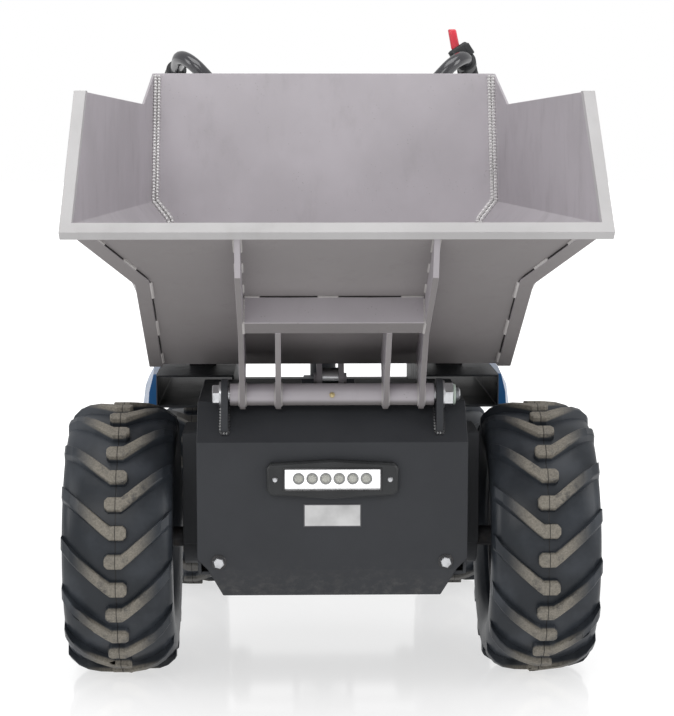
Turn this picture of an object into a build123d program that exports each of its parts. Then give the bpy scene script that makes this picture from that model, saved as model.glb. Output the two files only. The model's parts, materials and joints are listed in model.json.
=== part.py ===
from build123d import *
from math import acos, atan2, cos, degrees, hypot, pi, radians, sin, tan
import os

os.makedirs("parts", exist_ok=True)

# Walk-behind site dumper. +X is to the right seen from the front, -Y is forward, where the skip tips, +Z is up.
# The ground is Z 0 and the origin lies under the middle of the machine. "ahead" and "behind" are measured
# from the front axle.

# ---- layout -------------------------------------------------------------------------------------------
front_axle_y = -179.6  # front axle, from the middle of the machine's length
wheelbase = 640.0
rear_axle_y = front_axle_y + wheelbase
weld_gap = 0.05  # between a welded tube and the hole that it passes through
seat_gap = 0.3  # between a curved or bolted piece and its seat
running_gap = 0.05  # radial clearance of a shaft in its bore

# ---- tyres and rims -----------------------------------------------------------------------------------
front_tyre_radius = 205.0  # to the top of the lugs
front_tyre_width = 165.0
front_wheel_x = 312.5  # centre of the tyre, from the middle
front_lugs = 15  # on each side of the tread
front_lug_height = 13.0
front_rim_radius = 101.6
rear_tyre_radius = 165.0
rear_tyre_width = 125.0
rear_wheel_x = 235.0
rear_lugs = 10
rear_lug_height = 10.0
rear_rim_radius = 76.2
front_facets = 20  # flat faces round the tyre
rear_facets = 10
rim_facets = 16
lug_width = 19.0  # round the tyre, at the top of a lug
lug_flank = 3.0  # a lug is wider by this at its foot, on each side
lug_overlap = 16.0  # a lug's inner end passes the middle of the tread by this
rim_wall = 4.0
rim_flange = 9.0  # height of the rim's flanges over its seat
hub_radius = 36.0
hub_length = 46.0
spindle_radius = 15.0

# ---- skip ---------------------------------------------------------------------------------------------
sheet = 4.0  # the skip's plates
floor_z = 471.0  # underside of the skip's floor
ramp_angle = 26.0  # the front ramp rises forward at this angle
ramp_foot_y = front_axle_y - 20.0
lip_y = front_axle_y - 462.0
floor_back_y = front_axle_y + 390.0
back_top_y = front_axle_y + 488.0
back_top_z = 917.0
side_drop_y = front_axle_y + 340.0  # where the side's top edge starts to rise to the back wall
side_drop_z = 863.0
post_top_y = front_axle_y - 317.0
post_top_z = 873.0
lower_half = 272.0  # the lower tub, to the outside of its side
wing_half_front = 352.0  # the flared wings, outside, at the lip
wing_half_back = 294.5  # and at the back wall's top
fold_z = 698.0  # the fold between a wing and its shoulder
shoulder_slope = 1.217  # rise of the shoulder over its run
flange_width = 20.0  # the side's turned-in edge under the ramp and floor
rim_bar = 16.0  # square bar round the mouth

# ---- legs and pivot -----------------------------------------------------------------------------------
pivot_y = front_axle_y - 130.0
pivot_z = 438.0
outer_leg_x = 130.0
inner_leg_x = 78.0
leg_thickness = 8.0
leg_depth = 40.0  # the legs' depth under the ramp, as the cross beam
leg_eye_radius = 21.5
beam_start = 235.0  # from the ramp's foot up the ramp to the beam's lower side
beam_wall = 3.0
leg_kink = 440.0  # up the ramp to where the leg starts to taper to the lip
pivot_tube_radius = 16.0
pivot_tube_half = 148.5
pin_radius = 10.0
ear_radius = 23.0
ear_thickness = 10.0
ear_x = 156.0

# ---- chassis ------------------------------------------------------------------------------------------
chassis_half = 196.5
plate = 5.0  # chassis plates
cover_front_y = front_axle_y - 165.0
cover_fold_z = 372.0
cover_top_y = front_axle_y - 104.0
cover_top_z = 425.0
cover_bend_z = 186.0
cover_bottom_z = 141.0
cover_bottom_y = front_axle_y - 134.0
top_end_y = front_axle_y + 178.0
tub_end_y = rear_axle_y - 240.0
tub_bottom_z = 176.0
tray_inner_x = 150.0
tray_outer_x = 274.0
tray_bottom_z = 379.0
tray_top_z = 431.0
tray_start_y = front_axle_y + 180.0
tray_end_y = rear_axle_y - 28.0
tray_wall = 3.0
ram_slot_half = 42.0  # the opening in the top plate for the tipping ram
rest_x = 205.0
rest_y = front_axle_y + 350.0
rest_size = 44.0

# ---- tipping ram --------------------------------------------------------------------------------------
ram_base_y = front_axle_y + 250.0
ram_base_z = 288.0
ram_eye_y = front_axle_y - 10.0
ram_eye_z = 448.0
barrel_radius = 24.0
barrel_wall = 5.0
barrel_start = 26.0  # from the base eye's centre to the barrel's end
gland = 16.0
rod_radius = 11.0
rod_out = 44.0  # from the barrel's mouth to the rod eye's centre, at rest
ram_pin_radius = 8.0
ram_eye_radius = 16.0
clevis_inner = 12.5  # half the gap between the clevis plates
clevis_plate = 8.0
pin_end = 4.0

# ---- rear frame and steering --------------------------------------------------------------------------
spine_half = 55.0
spine_bottom_z = 218.0
spine_top_z = 278.0
king_pin_x = 150.0
king_pin_radius = 8.0
beam_half_height = 23.0
beam_half_depth = 22.0
boss_radius = 18.0
arm_length = 70.0
arm_thickness = 12.0
arm_end_radius = 13.0
link_pin_radius = 6.0
link_gap = 0.5  # radial clearance at a pivot where a closed linkage is opened
tie_thickness = 9.0
beam_set_back = 8.0  # the beam's box ends this far inside the king pins
mount_plate = 12.0
mount_plate_x = 49.0
knuckle_reach = 32.0
king_pin_end = 5.0
spine_wall = 4.0
spine_overhang = 45.0
deck_beam = 30.0  # depth and height of the beam
deck_beam_short = 10.0  # the beam is shorter than the trays' outer edges by this
deck_plate = 28.0
deck_plate_width = 70.0
tow_reach = 48.0
tow_width = 70.0
tow_thickness = 10.0
tow_lap = 20.0  # how far the plate reaches into the spine
tow_hole_back = 18.0  # the hole, from the plate's rear edge
tow_hole_radius = 10.0
stem_radius = 18.0
column_wall = 5.0
column_top_z = 700.0
clamp_half = 22.0
bar_z = 872.0  # middle of the handlebar at the stem
bar_ahead = 31.0  # the handlebar lies this far ahead of the stem
bar_radius = 12.5
bar_straight = 168.0
bar_bend = 42.0
bar_chords = 4  # each bend is made of this many chords
bar_facets = 16
hump_x = 250.0
hump_z = 960.0
grip_x = 282.0
grip_z = 888.0
grip_behind = 190.0  # the bar's ends, behind the stem
grip_radius = 17.0
grip_length = 112.0
grip_cap = 4.0
lever_clamp = 18.0
lever_drop = 16.0
lever_gap = 4.0  # between the lever's clamp and the grip
lever_blade = 7.0
controller_width = 96.0
controller_length = 130.0
controller_gap = 25.0  # behind the tub
controller_height = 70.0
controller_y = tub_end_y + controller_gap + controller_length / 2
fin_pitch = 12.0
fin_count = 7
fin_thickness = 3.0
fin_height = 12.0
switch_gap = 4.0  # from the end of the hump's bend
switch_length = 24.0  # along the bar
switch_wall = 6.0
switch_rise = 14.0  # the block's top, over the clamp
switch_width = 38.0
switch_shift = 5.0  # the block stands further in than the bar by this
tip_lever_length = 28.0
tip_lever_shift = 13.0  # the lever stands further in than the bar by this
tip_lever_lean = 0.15  # the lever leans inwards by this over its length
cable_radius = 3.0
cable_bend = 9.0
cable_room = 3.0  # between a cable and what it passes
cable_x = 50.0
cable_y = rear_axle_y + 48.0
console_z = 770.0
console_width = 150.0
console_depth = 60.0
console_height = 70.0

# ---- front box, lamp and front axle -------------------------------------------------------------------
chin_corner = 15.5  # the small cut at each lower corner of the cover's face
chin_half = 157.0  # half-width of the cover's lower edge
ram_slot_front_y = front_axle_y - 62.0
tub_nose_step = 9.0
ear_foot = 14.0
washer = 3.0
head_height = 10.0
nut_height = 16.0
thread_end = 8.0
lamp_z = 320.0
lamp_depth = 14.0
lamp_half = 95.0
lamp_end_height = 23.0
lamp_mid_height = 28.5
window_half = 69.0
window_half_height = 14.8
led_plate = 3.0
led_count = 6
led_pitch = 21.0
led_radius = 8.0
led_height = 4.0
led_facets = 10
led_edge = 1.0
lens_thickness = 2.5
bracket_thickness = 26.0
bracket_half = 62.0
bracket_top_z = 372.0
bracket_boss_radius = 40.0
axle_tube_radius = 22.0
case_half = 55.0
case_radius = 62.0
case_lift = 42.0
motor_radius = 48.0
motor_lift = 8.0
motor_length = 150.0
battery_x = 118.0
battery_y = tub_end_y - 100.0
battery_width = 120.0
battery_length = 170.0
battery_height = 160.0

# ---- side fairings ------------------------------------------------------------------------------------
fairing_bottom_z = 262.0
fairing_waist_z = 372.0
fairing_top_share = 0.36
fairing_brow_share = 0.87
fairing_belly_share = 0.96
fairing_foot_share = 0.75
# Columns: share of the tray's length, bulge out from the tray.
fairing_stations = [(0.04, 14.0), (0.28, 28.0), (0.58, 31.0), (0.985, 16.0)]
fairing_wall = 4.0
front_arch_radius = front_tyre_radius + 22.0
rear_arch_radius = 233.0

# ---- rims ---------------------------------------------------------------------------------------------
lug_root = 5.0  # a lug's foot is sunk into the tyre by this
disc_rim_x = 18.0  # where the disc meets the rim's barrel, from the rim's middle
disc_face_x = 8.0
disc_wall = 5.0
disc_bend_share = 0.66
hub_cap_x = 22.0
hub_cap = 6.0
spindle_short = 8.0
nut_radius = 7.5
nut_height_rim = 7.0
window_share = 0.80
window_radius_share = 0.11


def write(piece, name):
    """Label a finished piece and write its STEP file."""
    piece.label = name
    export_step(piece, "parts/" + name + ".step")


def ramp_point(up, out):
    """A point from the ramp's foot: up the ramp, and out from its underside."""
    rise = radians(ramp_angle)
    return (
        ramp_foot_y - up * cos(rise) - out * sin(rise),
        floor_z + up * sin(rise) - out * cos(rise),
    )


def tangent_point(centre, radius, outside, side):
    """Where a line from an outside point touches a circle, on the side +1 or -1."""
    run, rise = outside[0] - centre[0], outside[1] - centre[1]
    turn = atan2(rise, run) + side * acos(radius / hypot(run, rise))
    return (centre[0] + radius * cos(turn), centre[1] + radius * sin(turn))


def flat_sided(sections, ring=False):
    """A solid with flat faces through matching sections of corners, from the first to the last or in a ring."""
    faces = []
    spans = list(zip(sections, sections[1:]))
    if ring:
        spans.append((sections[-1], sections[0]))
    else:
        faces = [Face(Wire.make_polygon(section, close=True)) for section in (sections[0], sections[-1])]
    for near, far in spans:
        for corner in range(len(near)):
            following = (corner + 1) % len(near)
            faces.append(Face(Wire.make_polygon([near[corner], near[following], far[following]], close=True)))
            faces.append(Face(Wire.make_polygon([near[corner], far[following], far[corner]], close=True)))
    return Solid(Shell(faces))


def turned(outline, facets):
    """A ring round the X axis with flat facets, from a closed outline of places across and radii."""
    sections = []
    for step in range(facets):
        turn = 2 * pi * step / facets
        sections.append([(across, r * cos(turn), r * sin(turn)) for across, r in outline])
    return flat_sided(sections, ring=True)


def bent(corners, radius, chords):
    """The points of a path whose inner corners are bends, each made of a few chords."""
    points = [Vector(*corners[0])]
    for before, corner, after in zip(corners, corners[1:], corners[2:]):
        corner = Vector(*corner)
        back = (Vector(*before) - corner).normalized()
        onward = (Vector(*after) - corner).normalized()
        bend = pi - acos(back.dot(onward))
        centre = corner + (back + onward).normalized() * (radius / cos(bend / 2))
        first = corner + back * (radius * tan(bend / 2)) - centre
        last = corner + onward * (radius * tan(bend / 2)) - centre
        for step in range(chords + 1):
            share = step / chords
            points.append(centre + (first * sin((1 - share) * bend) + last * sin(share * bend)) / sin(bend))
    points.append(Vector(*corners[-1]))
    return points


# ---- the skip's shape ---------------------------------------------------------------------------------
lip_up = (ramp_foot_y - lip_y) / cos(radians(ramp_angle))
lip = ramp_point(lip_up, 0)
ramp_foot = (ramp_foot_y, floor_z)
floor_back = (floor_back_y, floor_z)
back_top = (back_top_y, back_top_z)
side_drop = (side_drop_y, side_drop_z)
post_top = (post_top_y, post_top_z)
zone_front_y = lip_y - 60.0
zone_back_y = back_top_y + 60.0
zone_top_z = back_top_z + 60.0
zone_bottom_z = floor_z - 60.0


def wing_half(y):
    """Half-width of the wings, outside, at this place along the skip."""
    share = (y - lip_y) / (back_top_y - lip_y)
    return wing_half_front + share * (wing_half_back - wing_half_front)


def tub_section(y, inset):
    """The corners of the tub between its sides at Y, moved in by inset."""
    half = lower_half - inset
    wing = wing_half(y) - inset
    wing_z = fold_z + inset * (hypot(1.0, shoulder_slope) - shoulder_slope)
    shoulder_z = wing_z - shoulder_slope * (wing - half)
    right = [(half, zone_bottom_z), (half, shoulder_z), (wing, wing_z), (wing, zone_top_z)]
    left = [(-across, z) for across, z in reversed(right)]
    return [(across, y, z) for across, z in right + left]


def tub_zone(inset):
    """The space between the skip's sides, from before the lip to behind the back wall."""
    with BuildPart() as zone:
        add(flat_sided([tub_section(zone_front_y, inset), tub_section(zone_back_y, inset)]))
    return zone.part


def side_slab(points, half_from, half_to):
    """A slab with its outline in the side view, between two places across the machine."""
    with BuildPart() as slab:
        with BuildSketch(Plane.YZ.offset(half_from)):
            with BuildLine():
                Polyline(*points, close=True)
            make_face()
        extrude(amount=half_to - half_from)
    return slab.part


half_span = wing_half(zone_front_y) + 10.0
outer_zone = tub_zone(0)
inner_zone = tub_zone(sheet)
flange_zone = tub_zone(flange_width)
back_lean = atan2(back_top_z - floor_z, back_top_y - floor_back_y)
back_shift = sheet / sin(back_lean)
foot_shift = sheet * tan(radians(ramp_angle / 2))
mouth_run = post_top[0] - lip[0]
mouth_rise = post_top[1] - lip[1]
mouth_length = hypot(mouth_run, mouth_rise)
lip_step = sheet / sin(radians(ramp_angle) + atan2(mouth_rise, mouth_run))
under_lip = (lip[0] - lip_step * mouth_run / mouth_length, lip[1] - lip_step * mouth_rise / mouth_length)
over_lip = (lip[0] + lip_step * mouth_run / mouth_length, lip[1] + lip_step * mouth_rise / mouth_length)
under_foot = (ramp_foot_y - foot_shift, floor_z - sheet)
under_back = (floor_back_y, floor_z - sheet)
over_foot = (ramp_foot_y + foot_shift, floor_z + sheet)
over_back = (floor_back_y - back_shift + sheet / tan(back_lean), floor_z + sheet)
back_foot_inner = (floor_back_y - back_shift, floor_z)
back_top_inner = (back_top_y - back_shift, back_top_z)

# The floor and ramp are one bent plate between the sides.
with BuildPart() as skip_base:
    add(side_slab([lip, ramp_foot, back_foot_inner, over_back, over_foot, over_lip], -half_span, half_span))
    add(inner_zone, mode=Mode.INTERSECT)
write(skip_base.part, "skip_base")

# The back wall leans out and stands on the line of the floor.
with BuildPart() as skip_back:
    add(side_slab([floor_back, back_top, back_top_inner, back_foot_inner], -half_span, half_span))
    add(inner_zone, mode=Mode.INTERSECT)
write(skip_back.part, "skip_back")

# Each side is one plate folded at the shoulder, with its lower edge turned in under the base.
for side_name, half_from, half_to in (("left", -half_span, 0.0), ("right", 0.0, half_span)):
    with BuildPart() as skip_side:
        add(
            side_slab(
                [under_lip, under_foot, under_back, floor_back, back_top, side_drop, post_top],
                half_from,
                half_to,
            )
        )
        add(outer_zone, mode=Mode.INTERSECT)
        add(inner_zone, mode=Mode.SUBTRACT)
        flange = side_slab([under_lip, under_foot, under_back, floor_back, ramp_foot, lip], half_from, half_to)
        add((flange & inner_zone) - flange_zone)
    write(skip_side.part, "skip_side_" + side_name)

# Square bar round the mouth: along the lip and up both front edges.
mouth = Plane(
    origin=(0, lip[0], lip[1]),
    x_dir=(1, 0, 0),
    z_dir=(0, -mouth_rise / mouth_length, mouth_run / mouth_length),
)
bar_overhang = (rim_bar - sheet) / 2
lip_outer = wing_half(lip[0]) + bar_overhang
post_outer = wing_half(post_top[0]) + bar_overhang
with BuildPart() as skip_rim:
    with BuildSketch(mouth):
        with BuildLine():
            Polyline(
                (0, -rim_bar / 2),
                (lip_outer, -rim_bar / 2),
                (post_outer, mouth_length),
                (post_outer - rim_bar, mouth_length),
                (lip_outer - rim_bar, rim_bar / 2),
                (0, rim_bar / 2),
                close=True,
            )
        make_face()
        mirror(about=Plane.YZ)
    extrude(amount=rim_bar)
write(skip_rim.part, "skip_rim")

# ---- legs, cross beam and pivot tube ------------------------------------------------------------------
pivot = (pivot_y, pivot_z)
beam_end = beam_start + leg_depth
leg_rear = ramp_point(45.0, 0)
leg_kink_point = ramp_point(leg_kink, leg_depth)
leg_bend = ramp_point(beam_start - 12.0, leg_depth)

with BuildPart() as skip_beam:
    with BuildSketch(Plane.YZ.offset(-outer_leg_x + leg_thickness / 2)):
        with BuildLine():
            Polyline(
                ramp_point(beam_start, 0),
                ramp_point(beam_end, 0),
                ramp_point(beam_end, leg_depth),
                ramp_point(beam_start, leg_depth),
                close=True,
            )
        make_face()
        offset(amount=-beam_wall, kind=Kind.INTERSECTION, mode=Mode.SUBTRACT)
    extrude(amount=2 * outer_leg_x - leg_thickness)
write(skip_beam.part, "skip_beam")


def leg(middle_x, upper_points, bend):
    """A leg plate: its strip under the ramp, and its foot round the pivot tube."""
    front_touch = tangent_point(pivot, leg_eye_radius, bend, -1 if bend[0] > pivot[0] else 1)
    rear_touch = tangent_point(pivot, leg_eye_radius, leg_rear, -1)
    with BuildPart() as plate_leg:
        with BuildSketch(Plane.YZ.offset(middle_x - leg_thickness / 2)):
            with BuildLine():
                Polyline(*upper_points, bend, front_touch, pivot, rear_touch, leg_rear, close=True)
            make_face()
            with Locations(pivot):
                Circle(leg_eye_radius)
                Circle(pivot_tube_radius + weld_gap, mode=Mode.SUBTRACT)
        extrude(amount=leg_thickness)
    return plate_leg.part


outer_leg_top = [ramp_point(lip_up - 6.0, 0), leg_kink_point]
inner_leg_top = [ramp_point(beam_start - seat_gap, 0)]
inner_leg_bend = ramp_point(beam_start - seat_gap, leg_depth)

# Columns: name, distance from the middle, upper points, lower bend.
for name, leg_x, upper, bend in (
    ("skip_outer_legs", outer_leg_x, outer_leg_top, leg_bend),
    ("skip_inner_legs", inner_leg_x, inner_leg_top, inner_leg_bend),
):
    with BuildPart() as leg_pair:
        add(leg(-leg_x, upper, bend))
        add(leg(leg_x, upper, bend))
    write(leg_pair.part, name)

with BuildPart() as skip_tube:
    with BuildSketch(Plane.YZ.offset(-pivot_tube_half)):
        with Locations(pivot):
            Circle(pivot_tube_radius)
            Circle(pin_radius + running_gap, mode=Mode.SUBTRACT)
    extrude(amount=2 * pivot_tube_half)
write(skip_tube.part, "skip_pivot_tube")


def clevis(eye, foot_points, pin_gap):
    """Two upright plates either side of the ram's eye, and their pin, left out over pin_gap."""
    front_foot, rear_foot = foot_points
    above = 1 if front_foot[1] > eye[1] else -1
    with BuildPart() as ears_and_pin:
        for inner_x in (clevis_inner, -clevis_inner - clevis_plate):
            with BuildSketch(Plane.YZ.offset(inner_x)):
                with BuildLine():
                    Polyline(
                        front_foot,
                        tangent_point(eye, ram_eye_radius, front_foot, above),
                        tangent_point(eye, ram_eye_radius, rear_foot, -above),
                        rear_foot,
                        close=True,
                    )
                make_face()
                with Locations(eye):
                    Circle(ram_eye_radius)
            extrude(amount=clevis_plate)
        with BuildSketch(Plane.YZ.offset(-clevis_inner - clevis_plate - pin_end)):
            with Locations(eye):
                Circle(ram_pin_radius)
        extrude(amount=2 * (clevis_inner + clevis_plate + pin_end))
        if pin_gap:
            with BuildSketch(Plane.YZ.offset(-pin_gap / 2)):
                with Locations(eye):
                    Circle(ram_pin_radius + 1.0)
            extrude(amount=pin_gap, mode=Mode.SUBTRACT)
    return ears_and_pin.part


ram_eye = (ram_eye_y, ram_eye_z)
ram_base = (ram_base_y, ram_base_z)
write(clevis(ram_eye, [ramp_foot, (ram_eye_y + 55.0, floor_z)], 2 * clevis_inner), "skip_ram_bracket")


# ---- chassis ------------------------------------------------------------------------------------------
def beside(points, gap):
    """An open path moved by gap to the left of its direction, with mitred corners."""
    lines = []
    for start, end in zip(points, points[1:]):
        run, rise = end[0] - start[0], end[1] - start[1]
        length = hypot(run, rise)
        lines.append((start[0] - rise / length * gap, start[1] + run / length * gap, run, rise))
    moved = [(lines[0][0], lines[0][1])]
    for (ax, ay, ar, ai), (bx, by, br, bi) in zip(lines, lines[1:]):
        along = ((bx - ax) * bi - (by - ay) * br) / (ar * bi - ai * br)
        moved.append((ax + along * ar, ay + along * ai))
    last = lines[-1]
    moved.append((last[0] + last[2], last[1] + last[3]))
    return moved


cover_path = [
    (top_end_y, cover_top_z),
    (cover_top_y, cover_top_z),
    (cover_front_y, cover_fold_z),
    (cover_front_y, cover_bend_z),
    (cover_bottom_y, cover_bottom_z),
]
cover_inside = beside(cover_path, plate)

# The cover is one bent plate: top, sloped brow, face and turned-under chin, with its lower corners cut off.
with BuildPart() as front_cover:
    add(side_slab(cover_path + cover_inside[::-1], -chassis_half, chassis_half))
    with BuildSketch(Plane.XZ.offset(-cover_bottom_y - 60.0)):
        with BuildLine():
            Polyline(
                (chassis_half, cover_bend_z + chin_corner),
                (chassis_half - chin_corner, cover_bend_z),
                (chin_half, cover_bottom_z - plate),
                (chassis_half, cover_bottom_z - plate),
                close=True,
            )
        make_face()
        mirror(about=Plane.YZ)
    extrude(amount=120.0, mode=Mode.SUBTRACT)
    with BuildSketch(Plane.XY.offset(cover_top_z - 2 * plate)):
        with Locations((0, (ram_slot_front_y + top_end_y) / 2)):
            Rectangle(2 * ram_slot_half, top_end_y - ram_slot_front_y)
    extrude(amount=3 * plate, mode=Mode.SUBTRACT)
write(front_cover.part, "front_cover")

# The tub: two side plates, floor and rear plate, the ram's mount, and brackets for the axle's ends.
side_outer = chassis_half - 1.0
front_axle_z = front_tyre_radius * cos(pi / front_lugs / 2 - lug_width / 2 / front_tyre_radius)
rear_axle_z = rear_tyre_radius * cos(pi / rear_lugs / 2 - lug_width / 2 / rear_tyre_radius)
tub_nose = (cover_inside[3][0] + tub_nose_step, tub_bottom_z)
tub_side_points = [
    (top_end_y, cover_top_z - plate),
    cover_inside[1],
    cover_inside[2],
    (cover_inside[3][0], cover_bend_z + plate),
    tub_nose,
    (tub_end_y, tub_bottom_z),
    (tub_end_y, tray_bottom_z),
    (top_end_y, tray_bottom_z),
]
with BuildPart() as chassis_tub:
    for half_from in (-side_outer, side_outer - plate):
        add(side_slab(tub_side_points, half_from, half_from + plate))
    with BuildSketch(Plane.XY.offset(tub_bottom_z)):
        with Locations((0, (tub_nose[0] + tub_end_y) / 2)):
            Rectangle(2 * side_outer, tub_end_y - tub_nose[0])
    extrude(amount=plate)
    with BuildSketch(Plane.XZ.offset(-tub_end_y)):
        with Locations((0, (tub_bottom_z + tray_bottom_z) / 2)):
            Rectangle(2 * side_outer, tray_bottom_z - tub_bottom_z)
    extrude(amount=plate)
    with BuildSketch(Plane.YZ.offset(-side_outer)):
        with Locations((front_axle_y, front_axle_z)):
            Circle(axle_tube_radius + seat_gap)
    extrude(amount=2 * side_outer, mode=Mode.SUBTRACT)
    add(clevis(ram_base, [(ram_base_y - 40.0, tub_bottom_z + plate), (ram_base_y + 40.0, tub_bottom_z + plate)], 0))
    for start_x in (side_outer, -side_outer - bracket_thickness):
        with BuildSketch(Plane.YZ.offset(start_x)):
            with Locations((front_axle_y, (front_axle_z + bracket_top_z) / 2)):
                Rectangle(2 * bracket_half, bracket_top_z - front_axle_z)
            with Locations((front_axle_y, front_axle_z)):
                Circle(bracket_boss_radius)
                Circle(axle_tube_radius + seat_gap, mode=Mode.SUBTRACT)
        extrude(amount=bracket_thickness)
write(chassis_tub.part, "chassis_tub")

# Ears for the skip's pivot stand on the cover's brow.
ear_front = (pivot_y - ear_radius, pivot_z)
brow_slope = (cover_top_z - cover_fold_z) / (cover_top_y - cover_front_y)


def brow_z(y):
    """Height of the brow and top of the cover."""
    return min(cover_fold_z + brow_slope * (y - cover_front_y), cover_top_z)


with BuildPart() as pivot_ears:
    for inner_x in (ear_x - ear_thickness / 2, -ear_x - ear_thickness / 2):
        with BuildSketch(Plane.YZ.offset(inner_x)):
            with BuildLine():
                Polyline(
                    (ear_front[0], pivot_z),
                    (ear_front[0], brow_z(ear_front[0])),
                    (cover_top_y, cover_top_z),
                    (pivot_y + ear_radius + ear_foot, cover_top_z),
                    (pivot_y + ear_radius, pivot_z),
                    close=True,
                )
            make_face()
            with Locations(pivot):
                Circle(ear_radius)
                Circle(pin_radius + weld_gap, mode=Mode.SUBTRACT)
        extrude(amount=ear_thickness)
write(pivot_ears.part, "pivot_ears")

# The pivot pin, with its head on the left and a nut on the right.
ear_outer = ear_x + ear_thickness / 2
with BuildPart() as pivot_pin:
    with BuildSketch(Plane.YZ.offset(-ear_outer - washer)):
        with Locations(pivot):
            Circle(pin_radius)
    extrude(amount=2 * (ear_outer + washer) + nut_height + thread_end)
    for start_x, thickness, radius in ((-ear_outer - washer, washer, 19.0), (ear_outer, washer, 20.0)):
        with BuildSketch(Plane.YZ.offset(start_x)):
            with Locations(pivot):
                Circle(radius)
        extrude(amount=thickness)
    for start_x, thickness, radius in (
        (-ear_outer - washer - head_height, head_height, 15.0),
        (ear_outer + washer, nut_height, 17.5),
    ):
        with BuildSketch(Plane.YZ.offset(start_x)):
            with Locations(pivot):
                RegularPolygon(radius, 6)
        extrude(amount=thickness)
write(pivot_pin.part, "pivot_pin")

# Lamp bar on the cover's face: a bowed bezel, six reflectors on a bright plate, and the lens.
lamp_front_y = cover_front_y - lamp_depth
lamp_corner = 6.0
# Columns: place across, height over the lamp's middle.
bow = [(-lamp_half, lamp_end_height), (0, lamp_mid_height), (lamp_half, lamp_end_height)]
bow_outline = [(across, lamp_z + height) for across, height in bow]
bow_outline += [(across, lamp_z - height) for across, height in reversed(bow)]
with BuildPart() as lamp_housing:
    with BuildSketch(Plane.XZ.offset(-cover_front_y)):
        with BuildLine():
            Polyline(*bow_outline, close=True)
        make_face()
        chamfer(vertices().group_by(Axis.X)[0] + vertices().group_by(Axis.X)[-1], length=lamp_corner)
    extrude(amount=lamp_depth)
    chamfer(faces().sort_by(Axis.Y)[0].outer_wire().edges(), length=lamp_corner / 2)
    with BuildSketch(Plane.XZ.offset(-cover_front_y)):
        with Locations((0, lamp_z)):
            Rectangle(2 * window_half, 2 * window_half_height)
    extrude(amount=lamp_depth, mode=Mode.SUBTRACT)
write(lamp_housing.part, "lamp_housing")

lamp_fit = seat_gap / 3
with BuildPart() as lamp_leds:
    with BuildSketch(Plane.XZ.offset(-cover_front_y)):
        with Locations((0, lamp_z)):
            Rectangle(2 * (window_half - lamp_fit), 2 * (window_half_height - lamp_fit))
    extrude(amount=led_plate)
    with BuildSketch(Plane.XZ.offset(-cover_front_y + led_plate)):
        with Locations((0, lamp_z)):
            with GridLocations(led_pitch, 0, led_count, 1):
                RegularPolygon(led_radius, led_facets)
    extrude(amount=led_height, taper=-8)
    with BuildSketch(Plane.XZ.offset(-cover_front_y + led_plate + led_height)):
        with Locations((0, lamp_z)):
            with GridLocations(led_pitch, 0, led_count, 1):
                RegularPolygon(led_radius - led_edge, led_facets)
    extrude(amount=-led_height, taper=25, mode=Mode.SUBTRACT)
write(lamp_leds.part, "lamp_leds")

with BuildPart() as lamp_lens:
    with BuildSketch(Plane.XZ.offset(-lamp_front_y - lens_thickness - 1.5)):
        with Locations((0, lamp_z)):
            Rectangle(2 * (window_half - lamp_fit), 2 * (window_half_height - lamp_fit))
    extrude(amount=lens_thickness)
write(lamp_lens.part, "lamp_lens")

# Front axle: differential case, axle tubes and spindles, with the drive motor behind.
spindle_end = front_wheel_x + hub_cap_x - spindle_short
with BuildPart() as front_axle:
    for half_length, radius in (
        (side_outer + bracket_thickness, axle_tube_radius),
        (spindle_end, spindle_radius),
        (case_half, case_radius),
    ):
        with BuildSketch(Plane.YZ.offset(-half_length)):
            with Locations((front_axle_y, front_axle_z + (case_lift if radius == case_radius else 0))):
                Circle(radius)
        extrude(amount=2 * half_length)
    with BuildSketch(Plane.XZ.offset(-front_axle_y)):
        with Locations((0, front_axle_z + case_lift + motor_lift)):
            Circle(motor_radius)
    extrude(amount=-motor_length)
write(front_axle.part, "front_axle")

with BuildPart() as battery:
    with BuildSketch(Plane.XY.offset(tub_bottom_z + plate)):
        with Locations((battery_x, battery_y), (-battery_x, battery_y)):
            Rectangle(battery_width, battery_length)
    extrude(amount=battery_height)
write(battery.part, "battery")

# Deck trays: folded boxes beside the tub, open at their ends.
with BuildPart() as deck_trays:
    for middle_x in ((tray_inner_x + tray_outer_x) / 2, -(tray_inner_x + tray_outer_x) / 2):
        with BuildSketch(Plane.XZ.offset(-tray_start_y)):
            with Locations((middle_x, (tray_bottom_z + tray_top_z) / 2)):
                Rectangle(tray_outer_x - tray_inner_x, tray_top_z - tray_bottom_z)
                Rectangle(
                    tray_outer_x - tray_inner_x - 2 * tray_wall,
                    tray_top_z - tray_bottom_z - 2 * tray_wall,
                    mode=Mode.SUBTRACT,
                )
        extrude(amount=-(tray_end_y - tray_start_y))
write(deck_trays.part, "deck_trays")

# Rubber rests on the trays carry the lowered skip.
with BuildPart() as skip_rests:
    with BuildSketch(Plane.XY.offset(tray_top_z)):
        with Locations((rest_x, rest_y), (-rest_x, rest_y)):
            Rectangle(rest_size, rest_size)
    extrude(amount=floor_z - tray_top_z - running_gap)
write(skip_rests.part, "skip_rests")


def fairing_section(y, bulge, inset):
    """The corners of the fairing's section at Y; inset gives the hollow behind its skin."""
    base_x = tray_outer_x + seat_gap - inset
    top = tray_top_z - inset
    bottom = fairing_bottom_z - inset
    # Columns: share of the bulge, height.
    skin = [
        (0.0, top),
        (fairing_top_share, top),
        (fairing_brow_share, (top + fairing_waist_z) / 2),
        (1.0, fairing_waist_z),
        (fairing_belly_share, (bottom + fairing_waist_z) / 2),
        (fairing_foot_share, bottom),
        (0.0, bottom),
    ]
    return [(base_x + bulge * share, y, z) for share, z in skin]


def fairing_body(inset):
    """The fairing over its length, as a solid, or the hollow behind its skin."""
    length = tray_end_y - tray_start_y
    ends = [inset, 0, 0, -inset]
    sections = []
    for (share, bulge), end in zip(fairing_stations, ends):
        sections.append(fairing_section(tray_start_y + share * length + end, bulge, inset))
    return flat_sided(sections)


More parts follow.
